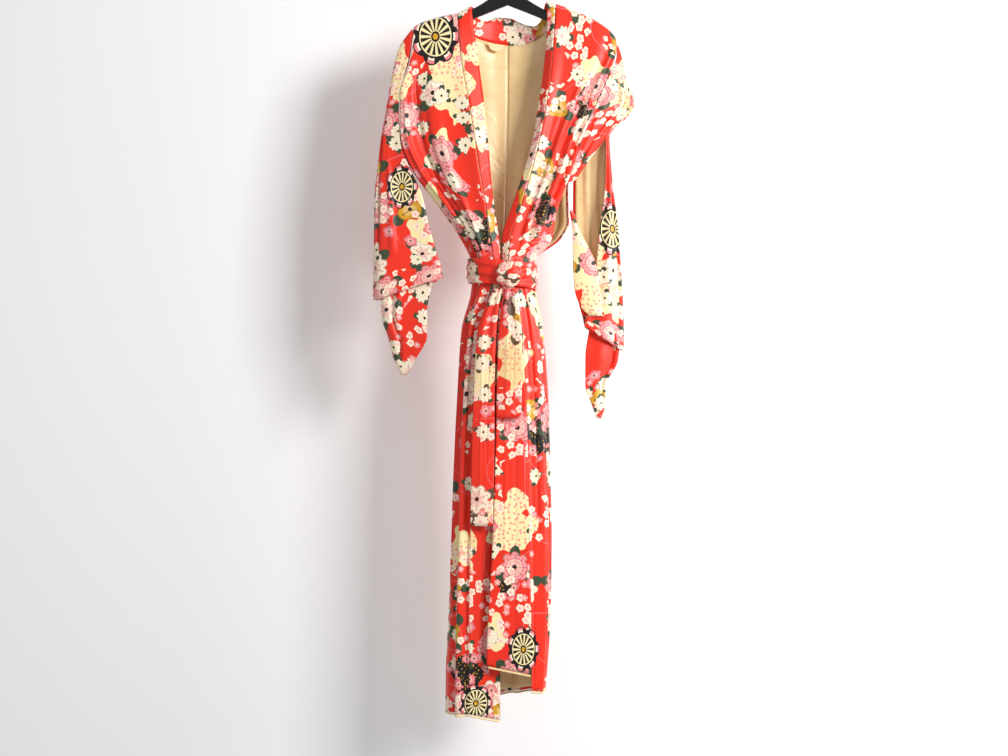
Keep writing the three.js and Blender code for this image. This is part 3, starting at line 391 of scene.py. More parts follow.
def panel(curve):
    def point(u, v):
        row = curve.at(v)
        angle = u * math.pi / 2
        across = math.sin(angle)
        return np.array([
            mix(row["xIn"], row["xOut"], across),
            mix(row["yIn"], row["yOut"], mix(across, 1 - math.cos(angle), row["round"])),
            mix(row["zIn"], row["zOut"], shoulder_fall(abs(across))),
        ])
    return point


def back_top(front, x, level):
    """The back's top edge: below the collar's seam at the neck, then the shoulder line."""
    top = front.at(0)
    reach = abs((NECK[0] if x < 0 else NECK[-1])["xSeam"])
    if abs(x) > reach + 0.1:
        across = clamp((abs(x) - reach) / (abs(top["xOut"]) - reach))
        z = mix(top["zIn"], top["zOut"], shoulder_fall(across))
        return np.array([x, mix(1, 10, level), z - 7 * level])
    xs = [row["xSeam"] for row in NECK]
    y = np.interp(x, xs, [row["ySeam"] for row in NECK])
    z = np.interp(x, xs, [row["zSeam"] for row in NECK])
    return np.array([x, y + 2.2 + level, z - 2.2 - 6 * level])


def back_panel(curve, front):
    plain = panel(curve)
    turned, reach = curve.v[1], 0.12

    def point(u, v):
        x = plain(u, 0)[0]
        below = back_top(front, x, 1)
        if v <= turned:
            return mix(back_top(front, x, 0), below, v / turned)
        pull = clamp((reach - v) / (reach - turned)) ** 2
        return plain(u, v) + pull * (below - plain(u, turned))
    return point


def strip(curve, seam):
    def point(u, v):
        row = curve.at(v)
        gap = math.copysign(seam, row["band"])
        return np.array([
            row["xIn"] + gap + u * (row["band"] - gap),
            row["yIn"] + u * row["turn"],
            row["zIn"] + u * row["rise"],
        ])
    return point


def sleeve(curve):
    def point(u, v):
        row = curve.at(v)
        edge = row["xFront"] if u < 0.5 else row["xBack"]
        gap = math.copysign(1.5, row["xFold"])
        x = mix(edge, row["xFold"], math.sin(math.pi * u)) + gap
        y = row["y"] - row["depth"] * math.cos(math.pi * u)
        return np.array([x, y, row["z"] + row["tilt"] * (x - row["xFold"])])
    return point


def hanging(curve, hollow):
    def point(u, v):
        row = curve.at(v)
        return np.array([mix(row["left"], row["right"], u), row["y"] + hollow * math.sin(math.pi * u), row["z"]])
    return point


def normal_of(surface, u, v, side):
    along = surface(u + 2e-3, v) - surface(u - 2e-3, v)
    down = surface(u, min(1, v + 2e-3)) - surface(u, max(0, v - 2e-3))
    n = np.cross(along, down)
    return n / (np.linalg.norm(n) + 1e-12) * side


def fold_height(u, v, depth, key):
    count, phase, uneven = WAVES[key]
    bend = uneven * math.sin(2 * math.pi * (1.6 * u + phase))
    ridge = math.cos(2 * math.pi * (count * u + phase + bend + 0.12 * v))
    swell = 0.78 + 0.22 * math.cos(2 * math.pi * (0.9 * u + 0.5 * v + phase))
    edge = ease(u / 0.14) * ease((1 - u) / 0.12)
    if key.startswith("sleeve"):
        edge *= ease(abs(u - 0.5) / 0.1)
    return depth * ridge * swell * edge


def crease_height(u, v, key, share):
    """The listed creases, which fade at both ends."""
    height = 0
    for c in CREASES[key]:
        t = (v - c["down"]) / (c["end"] - c["down"])
        if 0 < t < 1:
            off = (u - c["at"] - c["drift"] * t) / c["width"]
            if abs(off) < 3.5:
                height += c["depth"] * math.exp(-off * off) * ease(t / 0.3) * ease((1 - t) / 0.12)
    return height * share * ease(u / 0.08) * ease((1 - u) / 0.06)


def folded(surface, curve, key, side, lift=0.0, share=2.1):
    def point(u, v):
        inside = clamp(u)
        depth = curve.at(v).get("fold", 0)
        height = fold_height(inside, v, depth, key) + crease_height(inside, v, key, share) + lift
        return surface(u, v) + normal_of(surface, u, v, side) * height
    return point


def finish_piece(o, nodes):
    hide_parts(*nodes)
    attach(o, "root")


def cloth_piece(name, surface, us, vs, thick, material, nodes, ring=False,
                offset=(0, 0)):
    """A grid of cloth with its flat measure as its UV map, made into a thin shell."""
    points = np.array([[surface(u, v) for u in us] for v in vs]) * MM
    height, width = points.shape[:2]
    across = np.zeros((height, width))
    across[:, 1:] = np.cumsum(np.linalg.norm(np.diff(points, axis=1), axis=2), axis=1)
    middle = width // 2
    across -= across[:, middle:middle + 1]
    down = np.zeros(height)
    down[1:] = np.cumsum(np.linalg.norm(np.diff(points[:, middle], axis=0), axis=1))
    faces = []
    for j in range(height - 1):
        for i in range(width if ring else width - 1):
            k = (i + 1) % width
            faces.append((j * width + i, j * width + k, (j + 1) * width + k, (j + 1) * width + i))
    mesh = bpy.data.meshes.new(name)
    mesh.from_pydata(points.reshape(-1, 3).tolist(), [], faces)
    uv = mesh.uv_layers.new(name="Cloth")
    for loop in mesh.loops:
        j, i = divmod(loop.vertex_index, width)
        uv.data[loop.index].uv = (across[j, i] + offset[0], -down[j] + offset[1])
    for polygon in mesh.polygons:
        polygon.use_smooth = True
    mesh.materials.append(material)
    o = bpy.data.objects.new(name, mesh)
    bpy.context.collection.objects.link(o)
    solid = o.modifiers.new("Thickness", "SOLIDIFY")
    solid.thickness = thick * MM
    solid.offset = 0
    finish_piece(o, nodes)
    return o


def spaced(count, start=0.0, end=1.0):
    return [mix(start, end, i / count) for i in range(count + 1)]


def down_rows(curve, start=0.0, end=1.0):
    settings = bpy.context.scene.kimono
    return spaced(max(6, int((end - start) * curve.length / settings.fineness)), start, end)


def roll(name, line, radius, material, nodes):
    """A round roll of lining along a hem."""
    points = np.array(line)
    sides = 8
    ring = []
    for i, p in enumerate(points):
        t = points[min(i + 1, len(points) - 1)] - points[max(i - 1, 0)]
        t = t / (np.linalg.norm(t) + 1e-9)
        a = np.cross(t, [0, 0, 1])
        a = a / (np.linalg.norm(a) + 1e-9)
        b = np.cross(a, t)
        turns = np.linspace(0, 2 * math.pi, sides, endpoint=False)
        ring.append([p + radius * (a * math.cos(q) + b * math.sin(q)) for q in turns])
    verts = (np.array(ring).reshape(-1, 3) * MM).tolist()
    faces = [(j * sides + i, j * sides + (i + 1) % sides, (j + 1) * sides + (i + 1) % sides, (j + 1) * sides + i)
             for j in range(len(points) - 1) for i in range(sides)]
    last = (len(points) - 1) * sides
    faces += [tuple(range(sides))[::-1], tuple(last + i for i in range(sides))]
    mesh = bpy.data.meshes.new(name)
    mesh.from_pydata(verts, [], faces)
    mesh.update()
    mesh.materials.append(material)
    o = bpy.data.objects.new(name, mesh)
    bpy.context.collection.objects.link(o)
    bpy.ops.object.select_all(action="DESELECT")
    bpy.context.view_layer.objects.active = o
    o.select_set(True)
    bpy.ops.object.mode_set(mode="EDIT")
    bpy.ops.mesh.select_all(action="SELECT")
    bpy.ops.mesh.normals_make_consistent(inside=False)
    bpy.ops.object.mode_set(mode="OBJECT")
    bpy.ops.object.shade_smooth()
    finish_piece(o, nodes)
    return o


def hem_line(surface, start, end):
    return [surface(u, 1) + HEM_DROP for u in spaced(40, start, end)]


# ---- materials ----

def srgb(code):
    """A sRGB hex colour as linear RGBA."""
    parts = [int(code[i:i + 2], 16) / 255 for i in (1, 3, 5)]
    return [c / 12.92 if c <= 0.04045 else ((c + 0.055) / 1.055) ** 2.4 for c in parts] + [1]


class Nodes:
    """A small writer of shader nodes."""

    def __init__(self, name):
        self.material = bpy.data.materials.new(name)
        self.material.use_nodes = True
        self.tree = self.material.node_tree
        self.tree.nodes.clear()

    def add(self, kind, inputs=None, out=0, **settings):
        node = self.tree.nodes.new(kind)
        for key, value in settings.items():
            setattr(node, key, value)
        for key, value in (inputs or {}).items():
            if isinstance(value, bpy.types.NodeSocket):
                self.tree.links.new(value, node.inputs[key])
            else:
                node.inputs[key].default_value = value
        return node.outputs[out] if len(node.outputs) else None

    def math(self, operation, a, b=0.0, c=0.0):
        return self.add("ShaderNodeMath", {0: a, 1: b, 2: c}, operation=operation)

    def mask(self, *values):
        out = values[0]
        for value in values[1:]:
            out = self.math("MULTIPLY", out, value)
        return out

    def blend(self, factor, a, b):
        return self.add("ShaderNodeMix", {0: factor, 6: a, 7: b}, out=2, data_type="RGBA")

    def between(self, value, low, high):
        return self.mask(self.math("GREATER_THAN", value, low), self.math("LESS_THAN", value, high))


def placed(n, table):
    """The nearest of a table's motifs on the front, its radius as a share of its size."""
    coords = n.add("ShaderNodeTexCoord", out=3)
    split = n.tree.nodes.new("ShaderNodeSeparateXYZ")
    n.tree.links.new(coords, split.inputs[0])
    best, across, up = 9.0, 0.0, 0.0
    for motif in table:
        size = motif["size"] * MM
        x = n.math("DIVIDE", n.math("SUBTRACT", split.outputs[0], motif["x"] * MM), size)
        y = n.math("DIVIDE", n.math("SUBTRACT", split.outputs[2], motif["z"] * MM), size * motif["tall"])
        radius = n.math("SQRT", n.math("ADD", n.math("MULTIPLY", x, x), n.math("MULTIPLY", y, y)))
        nearer = n.math("LESS_THAN", radius, best)
        best = n.math("MINIMUM", radius, best)
        across = n.add("ShaderNodeMix", {0: nearer, 2: across, 3: x}, data_type="FLOAT")
        up = n.add("ShaderNodeMix", {0: nearer, 2: up, 3: y}, data_type="FLOAT")
    front = n.math("LESS_THAN", split.outputs[1], FRONT_REACH * MM)
    return dict(r=best, a=n.math("ARCTAN2", up, across), one=front)


def layer(n, uv, cell, seed, jitter=0.85):
    """Stamps: for every cell of a jittered lattice, the radius in metres, the angle and a random number."""
    moved = n.add("ShaderNodeVectorMath", {0: uv, 1: (seed * 1.37, seed * 2.11, 0)}, operation="ADD")
    v = n.tree.nodes.new("ShaderNodeTexVoronoi")
    v.voronoi_dimensions = "2D"
    v.feature = "F1"
    n.tree.links.new(moved, v.inputs["Vector"])
    v.inputs["Scale"].default_value = 1 / cell
    v.inputs["Randomness"].default_value = jitter
    local = n.add("ShaderNodeVectorMath", {0: moved, 1: v.outputs["Position"]}, operation="SUBTRACT")
    split = n.tree.nodes.new("ShaderNodeSeparateXYZ")
    n.tree.links.new(local, split.inputs[0])
    colour = n.tree.nodes.new("ShaderNodeSeparateColor")
    n.tree.links.new(v.outputs["Color"], colour.inputs[0])
    x, y = split.outputs[0], split.outputs[1]
    radius = n.math("SQRT", n.math("ADD", n.math("MULTIPLY", x, x), n.math("MULTIPLY", y, y)))
    turn = n.math("MULTIPLY", colour.outputs[2], 6.28)
    angle = n.math("ADD", n.math("ARCTAN2", y, x), turn)
    return dict(r=radius, a=angle, one=colour.outputs[0])


def lobed(n, cell, count, size, depth=0.25):
    """A mask of a rosette with count petals, and its radius as a share of the outline."""
    wave = n.math("ABSOLUTE", n.math("COSINE", n.math("MULTIPLY", cell["a"], count / 2)))
    outline = n.math("MULTIPLY_ADD", wave, depth * size, (1 - depth) * size)
    share = n.math("DIVIDE", cell["r"], outline)
    return n.math("LESS_THAN", share, 1.0), share


def chosen(n, cell, low, high):
    return n.between(cell["one"], low, high)


def blossom(n, colour, cell, count, size, present, petal, heart, ink):
    """A flower with a fine dark outline, shaded petals and a dark heart."""
    body, share = lobed(n, cell, count, size)
    edge = n.math("GREATER_THAN", share, 0.9)
    ribs = n.math("GREATER_THAN", n.math("COSINE", n.math("MULTIPLY", cell["a"], count)), 0.93)
    tone = n.blend(n.math("MULTIPLY", n.math("LESS_THAN", share, 0.55), 0.35), petal, heart)
    tone = n.blend(n.mask(ribs, n.math("LESS_THAN", share, 0.75), 0.5), tone, ink)
    tone = n.blend(n.math("MULTIPLY", edge, 0.35), tone, ink)
    tone = n.blend(n.math("LESS_THAN", share, 0.17), tone, ink)
    return n.blend(n.mask(body, present), colour, tone)


def leaves(n, colour, cell, size, present, leaf):
    petals = n.math("MAXIMUM", n.math("COSINE", n.math("MULTIPLY", cell["a"], 3)), 0.0)
    reach = n.math("MULTIPLY_ADD", petals, size * 0.62, size * 0.72)
    inside = n.math("LESS_THAN", cell["r"], reach)
    return n.blend(n.mask(inside, n.math("GREATER_THAN", petals, 0.45), present), colour, leaf)


def spoked(n, colour, wheel, size, present, cream, ink, gold):
    """A wheel of tapering spokes round a hub."""
    disc = n.math("DIVIDE", wheel["r"], size)
    colour = n.blend(n.mask(n.math("LESS_THAN", disc, 1.0), present), colour, cream)
    spokes = n.math("COSINE", n.math("MULTIPLY", wheel["a"], 15))
    wide = n.math("SUBTRACT", 0.62, n.math("MULTIPLY", disc, 0.95))
    spoke = n.mask(n.math("GREATER_THAN", spokes, wide), n.between(disc, 0.3, 0.93))
    colour = n.blend(n.mask(spoke, present), colour, ink)
    colour = n.blend(n.mask(n.math("LESS_THAN", disc, 0.27), present), colour, ink)
    return n.blend(n.mask(n.math("LESS_THAN", disc, 0.16), present), colour, gold)


def silk_print(name, settings, dark=0.0):
    """Printed silk crepe: blossoms, wheels, clouds and cartouches on a red ground."""
    n = Nodes(name)
    red, deep = srgb(settings.red), srgb(settings.shade_red)
    cream, pale, pink = srgb(settings.cream), srgb(settings.pale), srgb(settings.pink)
    gold, ink, leaf = srgb(settings.gold), srgb(settings.ink), srgb(settings.leaf)
    uv = n.add("ShaderNodeUVMap", uv_map="Cloth")
    wobble = n.add("ShaderNodeTexNoise", {"Vector": uv, "Scale": 22.0, "Detail": 2.0}, out=1)
    bent = n.add("ShaderNodeVectorMath", {0: wobble, 1: (0.012, 0.012, 0), 2: uv}, operation="MULTIPLY_ADD")
    tone = n.add("ShaderNodeTexNoise", {"Vector": uv, "Scale": 5.0})
    colour = n.blend(n.math("MULTIPLY", tone, 0.5), red, deep)

    # Thin pale lines that drift across the ground.
    drift = n.add("ShaderNodeTexNoise", {"Vector": uv, "Scale": 7.0, "Detail": 0.0})
    line = n.between(drift, 0.497, 0.503)
    colour = n.blend(n.math("MULTIPLY", line, 0.55), colour, pink)

    # Cream clouds with small pink dots.
    cloud = layer(n, bent, 0.20, 3)
    near = placed(n, CLOUDS)
    unseen = n.math("SUBTRACT", 1.0, near["one"])
    body, share = lobed(n, cloud, 7, 0.080, 0.2)
    dots = layer(n, uv, 0.0105, 5, 0.7)
    dotted = n.mask(n.math("LESS_THAN", dots["r"], 0.0027), n.math("GREATER_THAN", drift, 0.49))
    inside = n.blend(n.math("MULTIPLY", dotted, 0.8), cream, pink)
    inside = n.blend(n.math("MULTIPLY", n.math("LESS_THAN", share, 0.62), 0.25), inside, gold)
    colour = n.blend(n.mask(body, chosen(n, cloud, 0.0, 0.5), unseen), colour, inside)
    ragged = n.add("ShaderNodeTexNoise", {"Vector": uv, "Scale": 24.0, "Detail": 1.0})
    near["r"] = n.math("ADD", near["r"], n.math("MULTIPLY_ADD", ragged, 1.6, -0.85))
    body, _ = lobed(n, near, 5, 1.0, 0.2)
    colour = n.blend(n.mask(body, near["one"]), colour, inside)

    # Black cartouches flecked with gold, ringed by pink petals.
    fleck = n.add("ShaderNodeTexNoise", {"Vector": uv, "Scale": 260.0, "Detail": 0.0})
    flecked = n.blend(n.math("GREATER_THAN", fleck, 0.69), ink, gold)
    cart = layer(n, bent, 0.23, 11)
    body, share = lobed(n, cart, 6, 0.056, 0.22)
    colour = n.blend(n.mask(body, chosen(n, cart, 0.3, 0.6), unseen), colour, flecked)
    black = placed(n, CARTOUCHES)
    patch, patch_share = lobed(n, black, 6, 1.0, 0.22)
    colour = n.blend(n.mask(patch, black["one"]), colour, flecked)
    rim = layer(n, bent, 0.026, 12, 0.6)
    near = n.math("MAXIMUM", n.mask(n.between(share, 0.72, 1.3), chosen(n, cart, 0.3, 0.6), unseen),
                  n.mask(n.between(patch_share, 0.6, 1.35), black["one"]))
    colour = blossom(n, colour, rim, 5, 0.0125, n.mask(near, chosen(n, rim, 0.0, 0.8)), pink, pale, ink)

    # Peonies and gold blossoms with dark leaves behind them.
    big = layer(n, bent, 0.098, 21)
    colour = leaves(n, colour, big, 0.034, chosen(n, big, 0.0, 0.62), leaf)
    arcs = n.math("SINE", n.math("MULTIPLY", big["r"], 900))
    peony = n.blend(n.math("MULTIPLY", n.math("GREATER_THAN", arcs, 0.7), 0.5), pink, pale)
    colour = blossom(n, colour, big, 8, 0.034, chosen(n, big, 0.0, 0.26), peony, pale, ink)
    white = n.blend(n.math("MULTIPLY", n.math("GREATER_THAN", arcs, 0.8), 0.4), pale, pink)
    colour = blossom(n, colour, big, 7, 0.030, chosen(n, big, 0.26, 0.44), white, pink, ink)
    colour = blossom(n, colour, big, 3, 0.026, chosen(n, big, 0.44, 0.62), gold, cream, ink)

    # Chrysanthemums and plum blossom in sprigs.
    mid = layer(n, uv, 0.044, 31)
    colour = leaves(n, colour, mid, 0.017, chosen(n, mid, 0.0, 0.22), leaf)
    colour = blossom(n, colour, mid, 10, 0.0165, chosen(n, mid, 0.0, 0.22), pale, cream, ink)
    colour = blossom(n, colour, mid, 5, 0.014, chosen(n, mid, 0.22, 0.34), pink, pale, ink)
    small = layer(n, uv, 0.019, 41)
    grove = n.add("ShaderNodeTexNoise", {"Vector": uv, "Scale": 9.0, "Detail": 1.0})
    near = n.math("GREATER_THAN", grove, 0.53)
    colour = blossom(n, colour, small, 5, 0.0085, n.mask(near, chosen(n, small, 0.0, 0.5)), pale, pink, pink)
    colour = blossom(n, colour, small, 5, 0.007, n.mask(near, chosen(n, small, 0.5, 0.72)), pink, pale, pale)

    # Cart wheels: black and cream spokes round a gold hub, on a scalloped black ground.
    wheel = placed(n, WHEELS)
    ground, share = lobed(n, wheel, 7, 1.0, 0.16)
    colour = n.blend(n.mask(ground, wheel["one"]), colour, ink)
    petals = n.math("GREATER_THAN", n.math("COSINE", n.math("MULTIPLY", wheel["a"], 7)), 0.35)
    petals = n.mask(petals, n.between(share, 0.76, 0.95), wheel["one"])
    colour = n.blend(petals, colour, n.blend(n.math("GREATER_THAN", share, 0.84), pale, pink))
    colour = spoked(n, colour, wheel, 0.68, wheel["one"], cream, ink, gold)
    hidden = layer(n, uv, 0.31, 54, 0.9)
    elsewhere = n.mask(n.math("SUBTRACT", 1.0, wheel["one"]), chosen(n, hidden, 0.0, 0.6))
    ground, _ = lobed(n, hidden, 9, 0.062, 0.14)
    colour = n.blend(n.mask(ground, elsewhere), colour, flecked)
    colour = spoked(n, colour, hidden, 0.042, elsewhere, cream, ink, gold)

    if dark:
        colour = n.blend(dark, colour, deep)
    crepe = n.add("ShaderNodeTexNoise", {"Vector": uv, "Scale": 900.0, "Detail": 2.0})
    bump = n.add("ShaderNodeBump", {"Height": crepe, "Strength": 0.12, "Distance": 0.0004})
    shader = n.add("ShaderNodeBsdfPrincipled", {
        "Base Color": colour, "Roughness": 0.42, "Sheen Weight": 0.25, "Sheen Roughness": 0.4,
        "Specular IOR Level": 0.35, "Normal": bump})
    n.add("ShaderNodeOutputMaterial", {0: shader})
    return n.material


def lining_silk(settings):
    """Plain silk lining, satin, a little stained."""
    n = Nodes("Plain silk lining")
    base = srgb(settings.lining_tone)
    uv = n.add("ShaderNodeUVMap", uv_map="Cloth")
    stain = n.add("ShaderNodeTexNoise", {"Vector": uv, "Scale": 6.0, "Detail": 4.0})
    worn = n.add("ShaderNodeMapRange", {0: stain, 1: 0.45, 2: 0.75, 3: 0.0, 4: 0.45})
    colour = n.blend(worn, base, srgb("#C99C5E"))
    weave = n.add("ShaderNodeTexNoise", {"Vector": uv, "Scale": 700.0})
    bump = n.add("ShaderNodeBump", {"Height": weave, "Strength": 0.06, "Distance": 0.0003})
    rumple = n.add("ShaderNodeTexNoise", {"Vector": uv, "Scale": 9.0, "Detail": 3.0, "Distortion": 1.2})
    bump = n.add("ShaderNodeBump", {"Height": rumple, "Strength": 0.55, "Distance": 0.012, "Normal": bump})
    shader = n.add("ShaderNodeBsdfPrincipled", {
        "Base Color": colour, "Roughness": 0.36, "Sheen Weight": 0.2, "Normal": bump})
    n.add("ShaderNodeOutputMaterial", {0: shader})
    return n.material


def plain(name, colour, roughness, metallic=0.0):
    n = Nodes(name)
    shader = n.add("ShaderNodeBsdfPrincipled", {
        "Base Color": srgb(colour), "Roughness": roughness, "Metallic": metallic})
    n.add("ShaderNodeOutputMaterial", {0: shader})
    return n.material


def wall_paint():
    """Matt wall paint that is clear from behind, so that a view from the back is open."""
    n = Nodes("Matt wall paint")
    paint = n.add("ShaderNodeBsdfPrincipled", {"Base Color": srgb("#FCFCFC"), "Roughness": 0.9})
    clear = n.add("ShaderNodeBsdfTransparent")
    behind = n.add("ShaderNodeNewGeometry", out="Backfacing")
    n.add("ShaderNodeOutputMaterial", {0: n.add("ShaderNodeMixShader", {0: behind, 1: paint, 2: clear})})
    return n.material


KIT = {}


def kit():
    """The materials and curves that the pieces share, made once."""
    if not KIT:
        s = bpy.context.scene.kimono
        KIT["silk"] = silk_print("Printed silk crepe", s)
        KIT["belt"] = silk_print("Printed silk crepe belt", s, 0.12)
        KIT["lining"] = lining_silk(s)
        travel = ["zIn", "xOut", "yIn"]
        KIT["front_right"] = Curve(FRONT_RIGHT, travel)
        KIT["front_left"] = Curve(FRONT_LEFT, travel)
        KIT["back_right"] = Curve(BACK_RIGHT, travel, -SEAM / 2)
        KIT["back_left"] = Curve(BACK_LEFT, travel, SEAM / 2)
        KIT["sleeve_right"] = Curve(SLEEVE_RIGHT, ["z", "depth", "xFront"])
        KIT["sleeve_left"] = Curve(SLEEVE_LEFT, ["z", "depth", "xFront"])
    return KIT


def body_panel(side, part, offset):
    """One front or back panel, with the roll of lining at its hem."""
    k, s = kit(), bpy.context.scene.kimono
    name = f"{part}_{side}"
    curve = k[name]
    sign = (-1 if side == "right" else 1) * (1 if part == "back" else -1)
    base = back_panel(curve, k[f"front_{side}"]) if part == "back" else panel(curve)
    surface = folded(base, curve, name, sign)
    us, vs = spaced(64), down_rows(curve)
    cloth_piece(name, surface, us, vs, s.cloth, k["silk"], [name], offset=offset)
    roll(f"hem_{name}", hem_line(surface, 0.03, 0.93), HEM_ROLL, k["lining"], [f"hem_{name}"])


class KIMONO_OT_fronts(bpy.types.Operator):
    """The two front panels"""
    bl_idname = "kimono.fronts"
    bl_label = "Fronts"

    def execute(self, context):
        body_panel("right", "front", (0.0, 0.0))
        body_panel("left", "front", (0.42, 0.13))
        return {"FINISHED"}


class KIMONO_OT_backs(bpy.types.Operator):
    """The two back panels and the lining that shows inside them"""
    bl_idname = "kimono.backs"
    bl_label = "Backs"

    def execute(self, context):
        k, s = kit(), context.scene.kimono
        for side, offset in (("right", (0.9, 0.31)), ("left", (1.3, 0.52))):
            body_panel(side, "back", offset)
            name = f"back_{side}"
            curve = k[name]
            sign = -1 if side == "right" else 1
            base = back_panel(curve, k[f"front_{side}"])
            inner = folded(base, curve, name, sign, LINING_LIFT, LINING_CREASES)
            us = spaced(48, 0.0004, 0.9)
            vs = down_rows(curve, curve.v[1] * 0.5, 0.995)
            cloth_piece(f"lining_{side}", inner, us, vs, s.lining, k["lining"], [f"lining_{side}"],
                        offset=offset)
        return {"FINISHED"}


class KIMONO_OT_overlaps(bpy.types.Operator):
    """The overlap panels below the belt"""
    bl_idname = "kimono.overlaps"
    bl_label = "Overlaps"

    def execute(self, context):
        k, s = kit(), context.scene.kimono
        for side, hem, offset in (("right", -1582, (2.1, 0.07)), ("left", -1500, (2.6, 0.44))):
            curve = k[f"front_{side}"]
            name = f"overlap_{side}"
            start, end = curve.where("zIn", BELT_Z - 2), curve.where("zIn", hem)
            flat_strip = strip(curve, SEAM)

            def surface(u, v, flat_strip=flat_strip, start=start, end=end):
                down = (v - start) / (end - start)
                height = crease_height(clamp(u), down, "plain", 1.0)
                return flat_strip(u, v) + np.array([0, -height, 0])
            cloth_piece(name, surface, spaced(24), down_rows(curve, start, end), s.cloth, k["silk"], [name],
                        offset=offset)
            line = [surface(u, end) + HEM_DROP for u in spaced(20, 0.03, 0.97)]
            roll(f"hem_{name}", line, HEM_ROLL, k["lining"], [f"hem_{name}"])
        return {"FINISHED"}


class KIMONO_OT_collar(bpy.types.Operator):
    """The collar, from the belt round the neck and down to the belt"""
    bl_idname = "kimono.collar"
    bl_label = "Collar"

    def execute(self, context):
        k, s = kit(), context.scene.kimono

        def side(curve):
            band = strip(curve, COLLAR_SEAM)
            end = curve.where("zIn", BELT_Z + 22)
            return [(band(1, v), band(0, v)) for v in down_rows(curve, 0, end)]
        neck_curve = Curve(NECK, ["xTop"])
        neck = []
        for v in spaced(28):
            row = neck_curve.at(v)
            neck.append(tuple(np.array([row[axis + edge] for axis in "xyz"]) for edge in ("Top", "Seam")))
        line = side(k["front_right"])[::-1] + neck + side(k["front_left"])
        last = len(line) - 1

        def surface(u, v):
            i = min(int(clamp(v) * last), last - 1)
            t = clamp(v) * last - i
            free, seam = mix(line[i][0], line[i + 1][0], t), mix(line[i][1], line[i + 1][1], t)
            # Round the neck the seam's edge reaches a little below the back's top edge.
            tuck = 0.12 * ease(seam[1] / 14)
            return mix(free, seam, u * (1 + tuck))
        cloth_piece("collar", surface, spaced(6), spaced(last), s.band, k["silk"], ["collar"],
                    offset=(3.2, 0.9))
        return {"FINISHED"}


class KIMONO_OT_sleeves(bpy.types.Operator):
    """The sleeves, with their linings, the draped top and the turned-back edge"""
    bl_idname = "kimono.sleeves"
    bl_label = "Sleeves"

    def execute(self, context):
        k, s = kit(), context.scene.kimono
        # The lining shows from one row of the sleeve's table to another, and from front round the fold.
        lined = (("right", 1, 8, 11, 0.0, (4.1, 0.2)), ("left", -1, 4, 10, 0.02, (4.8, 0.63)))
        for side, sign, first, last, front, offset in lined:
            name = f"sleeve_{side}"
            curve = k[name]
            surface = folded(sleeve(curve), curve, name, sign)
            cloth_piece(name, surface, spaced(60), down_rows(curve), s.cloth, k["silk"],
                        [name, f"{name}_back"], offset=offset)
            inner = folded(sleeve(curve), curve, name, sign, -3)
            vs = down_rows(curve, curve.v[first], curve.v[last])
            cloth_piece(f"{name}_lining", inner, spaced(54, front, 0.98), vs,
                        s.lining, k["lining"], [f"{name}_lining"], offset=offset)
        top = Curve(SLEEVE_TOP_LEFT, ["zOut", "xIn"])
        cap = folded(panel(top), top, "sleeve_left", -1)
        cloth_piece("sleeve_left_top", cap, spaced(36), spaced(60), s.cloth, k["silk"], ["sleeve_left_top"],
                    offset=(5.3, 0.2))
        flap = Curve(TURNBACK, ["z"])
        cloth_piece("sleeve_left_turnback", hanging(flap, -3), spaced(20), spaced(40), s.cloth, k["silk"],
                    ["sleeve_left_turnback"], offset=(5.9, 0.2))
        return {"FINISHED"}


class KIMONO_OT_belt(bpy.types.Operator):
    """The belt, its knot and its two hanging ends"""
    bl_idname = "kimono.belt"
    bl_label = "Belt"

    def execute(self, context):
        k, s = kit(), context.scene.kimono

        def squared(t):
            return math.copysign(abs(t) ** 0.85, t)

        def band(u, v):
            angle = 2 * math.pi * u
            swell = 1 + 0.03 * math.sin(math.pi * v)
            groove = math.cos(2 * math.pi * 2.4 * v + 1.5 * math.sin(angle) + 0.9 * math.cos(2 * angle + 0.5))
            pleat = 1 + 0.030 * (1 + groove) * (0.45 + 0.55 * math.cos(angle + 1.57) ** 2)
            return np.array([
                -11 + 71.5 * swell * pleat * squared(math.cos(angle)),
                -2.5 + 56.5 * swell * pleat * squared(math.sin(angle)),
                BELT_Z - 50 * (v - 0.5) - 7 * math.cos(angle),
            ])
        cloth_piece("belt_band", band, spaced(128)[:-1], spaced(28), s.band, k["belt"], ["belt_band"],
                    offset=(6.6, 0.2), ring=True)

        # The knot: a slanting fold over a lower one, creased where the cloth is drawn in.
        def knot(u, v):
            a, b = 2 * math.pi * u, math.pi * mix(0.03, 0.97, v)
            crease = 1 + 0.12 * math.cos(4 * a + 3.4 * b) + 0.07 * math.cos(9 * b + a)
            x = 24 * math.sin(b) * math.cos(a) * crease
            y = 11 * math.sin(b) * math.sin(a) * crease
            z = 27 * math.cos(b)
            lean = 0.35
            return np.array([
                2 + x * math.cos(lean) - z * math.sin(lean),
                -73 + y,
                BELT_Z - 4 + x * math.sin(lean) + z * math.cos(lean),
            ])
        cloth_piece("belt_knot", knot, spaced(72)[:-1], spaced(40), 1.2, k["belt"], ["belt_knot"],
                    offset=(7.3, 0.2), ring=True)

        ends = (("belt_end_short", TAIL_SHORT, (7.9, 0.31)), ("belt_end_long", TAIL_LONG, (8.4, 0.77)))
        for name, table, offset in ends:
            curve = Curve(table, ["z"])
            flat = hanging(curve, -2)

            def surface(u, v, flat=flat):
                gather = 2.4 * math.cos(3.2 * math.pi * u + 0.6) * (1 - ease(v / 0.55))
                return flat(u, v) + np.array([0, gather + crease_height(clamp(u), v, "plain", 1.2), 0])
            cloth_piece(name, surface, spaced(24), down_rows(curve), s.band, k["belt"], [name],
                        offset=offset)
        return {"FINISHED"}


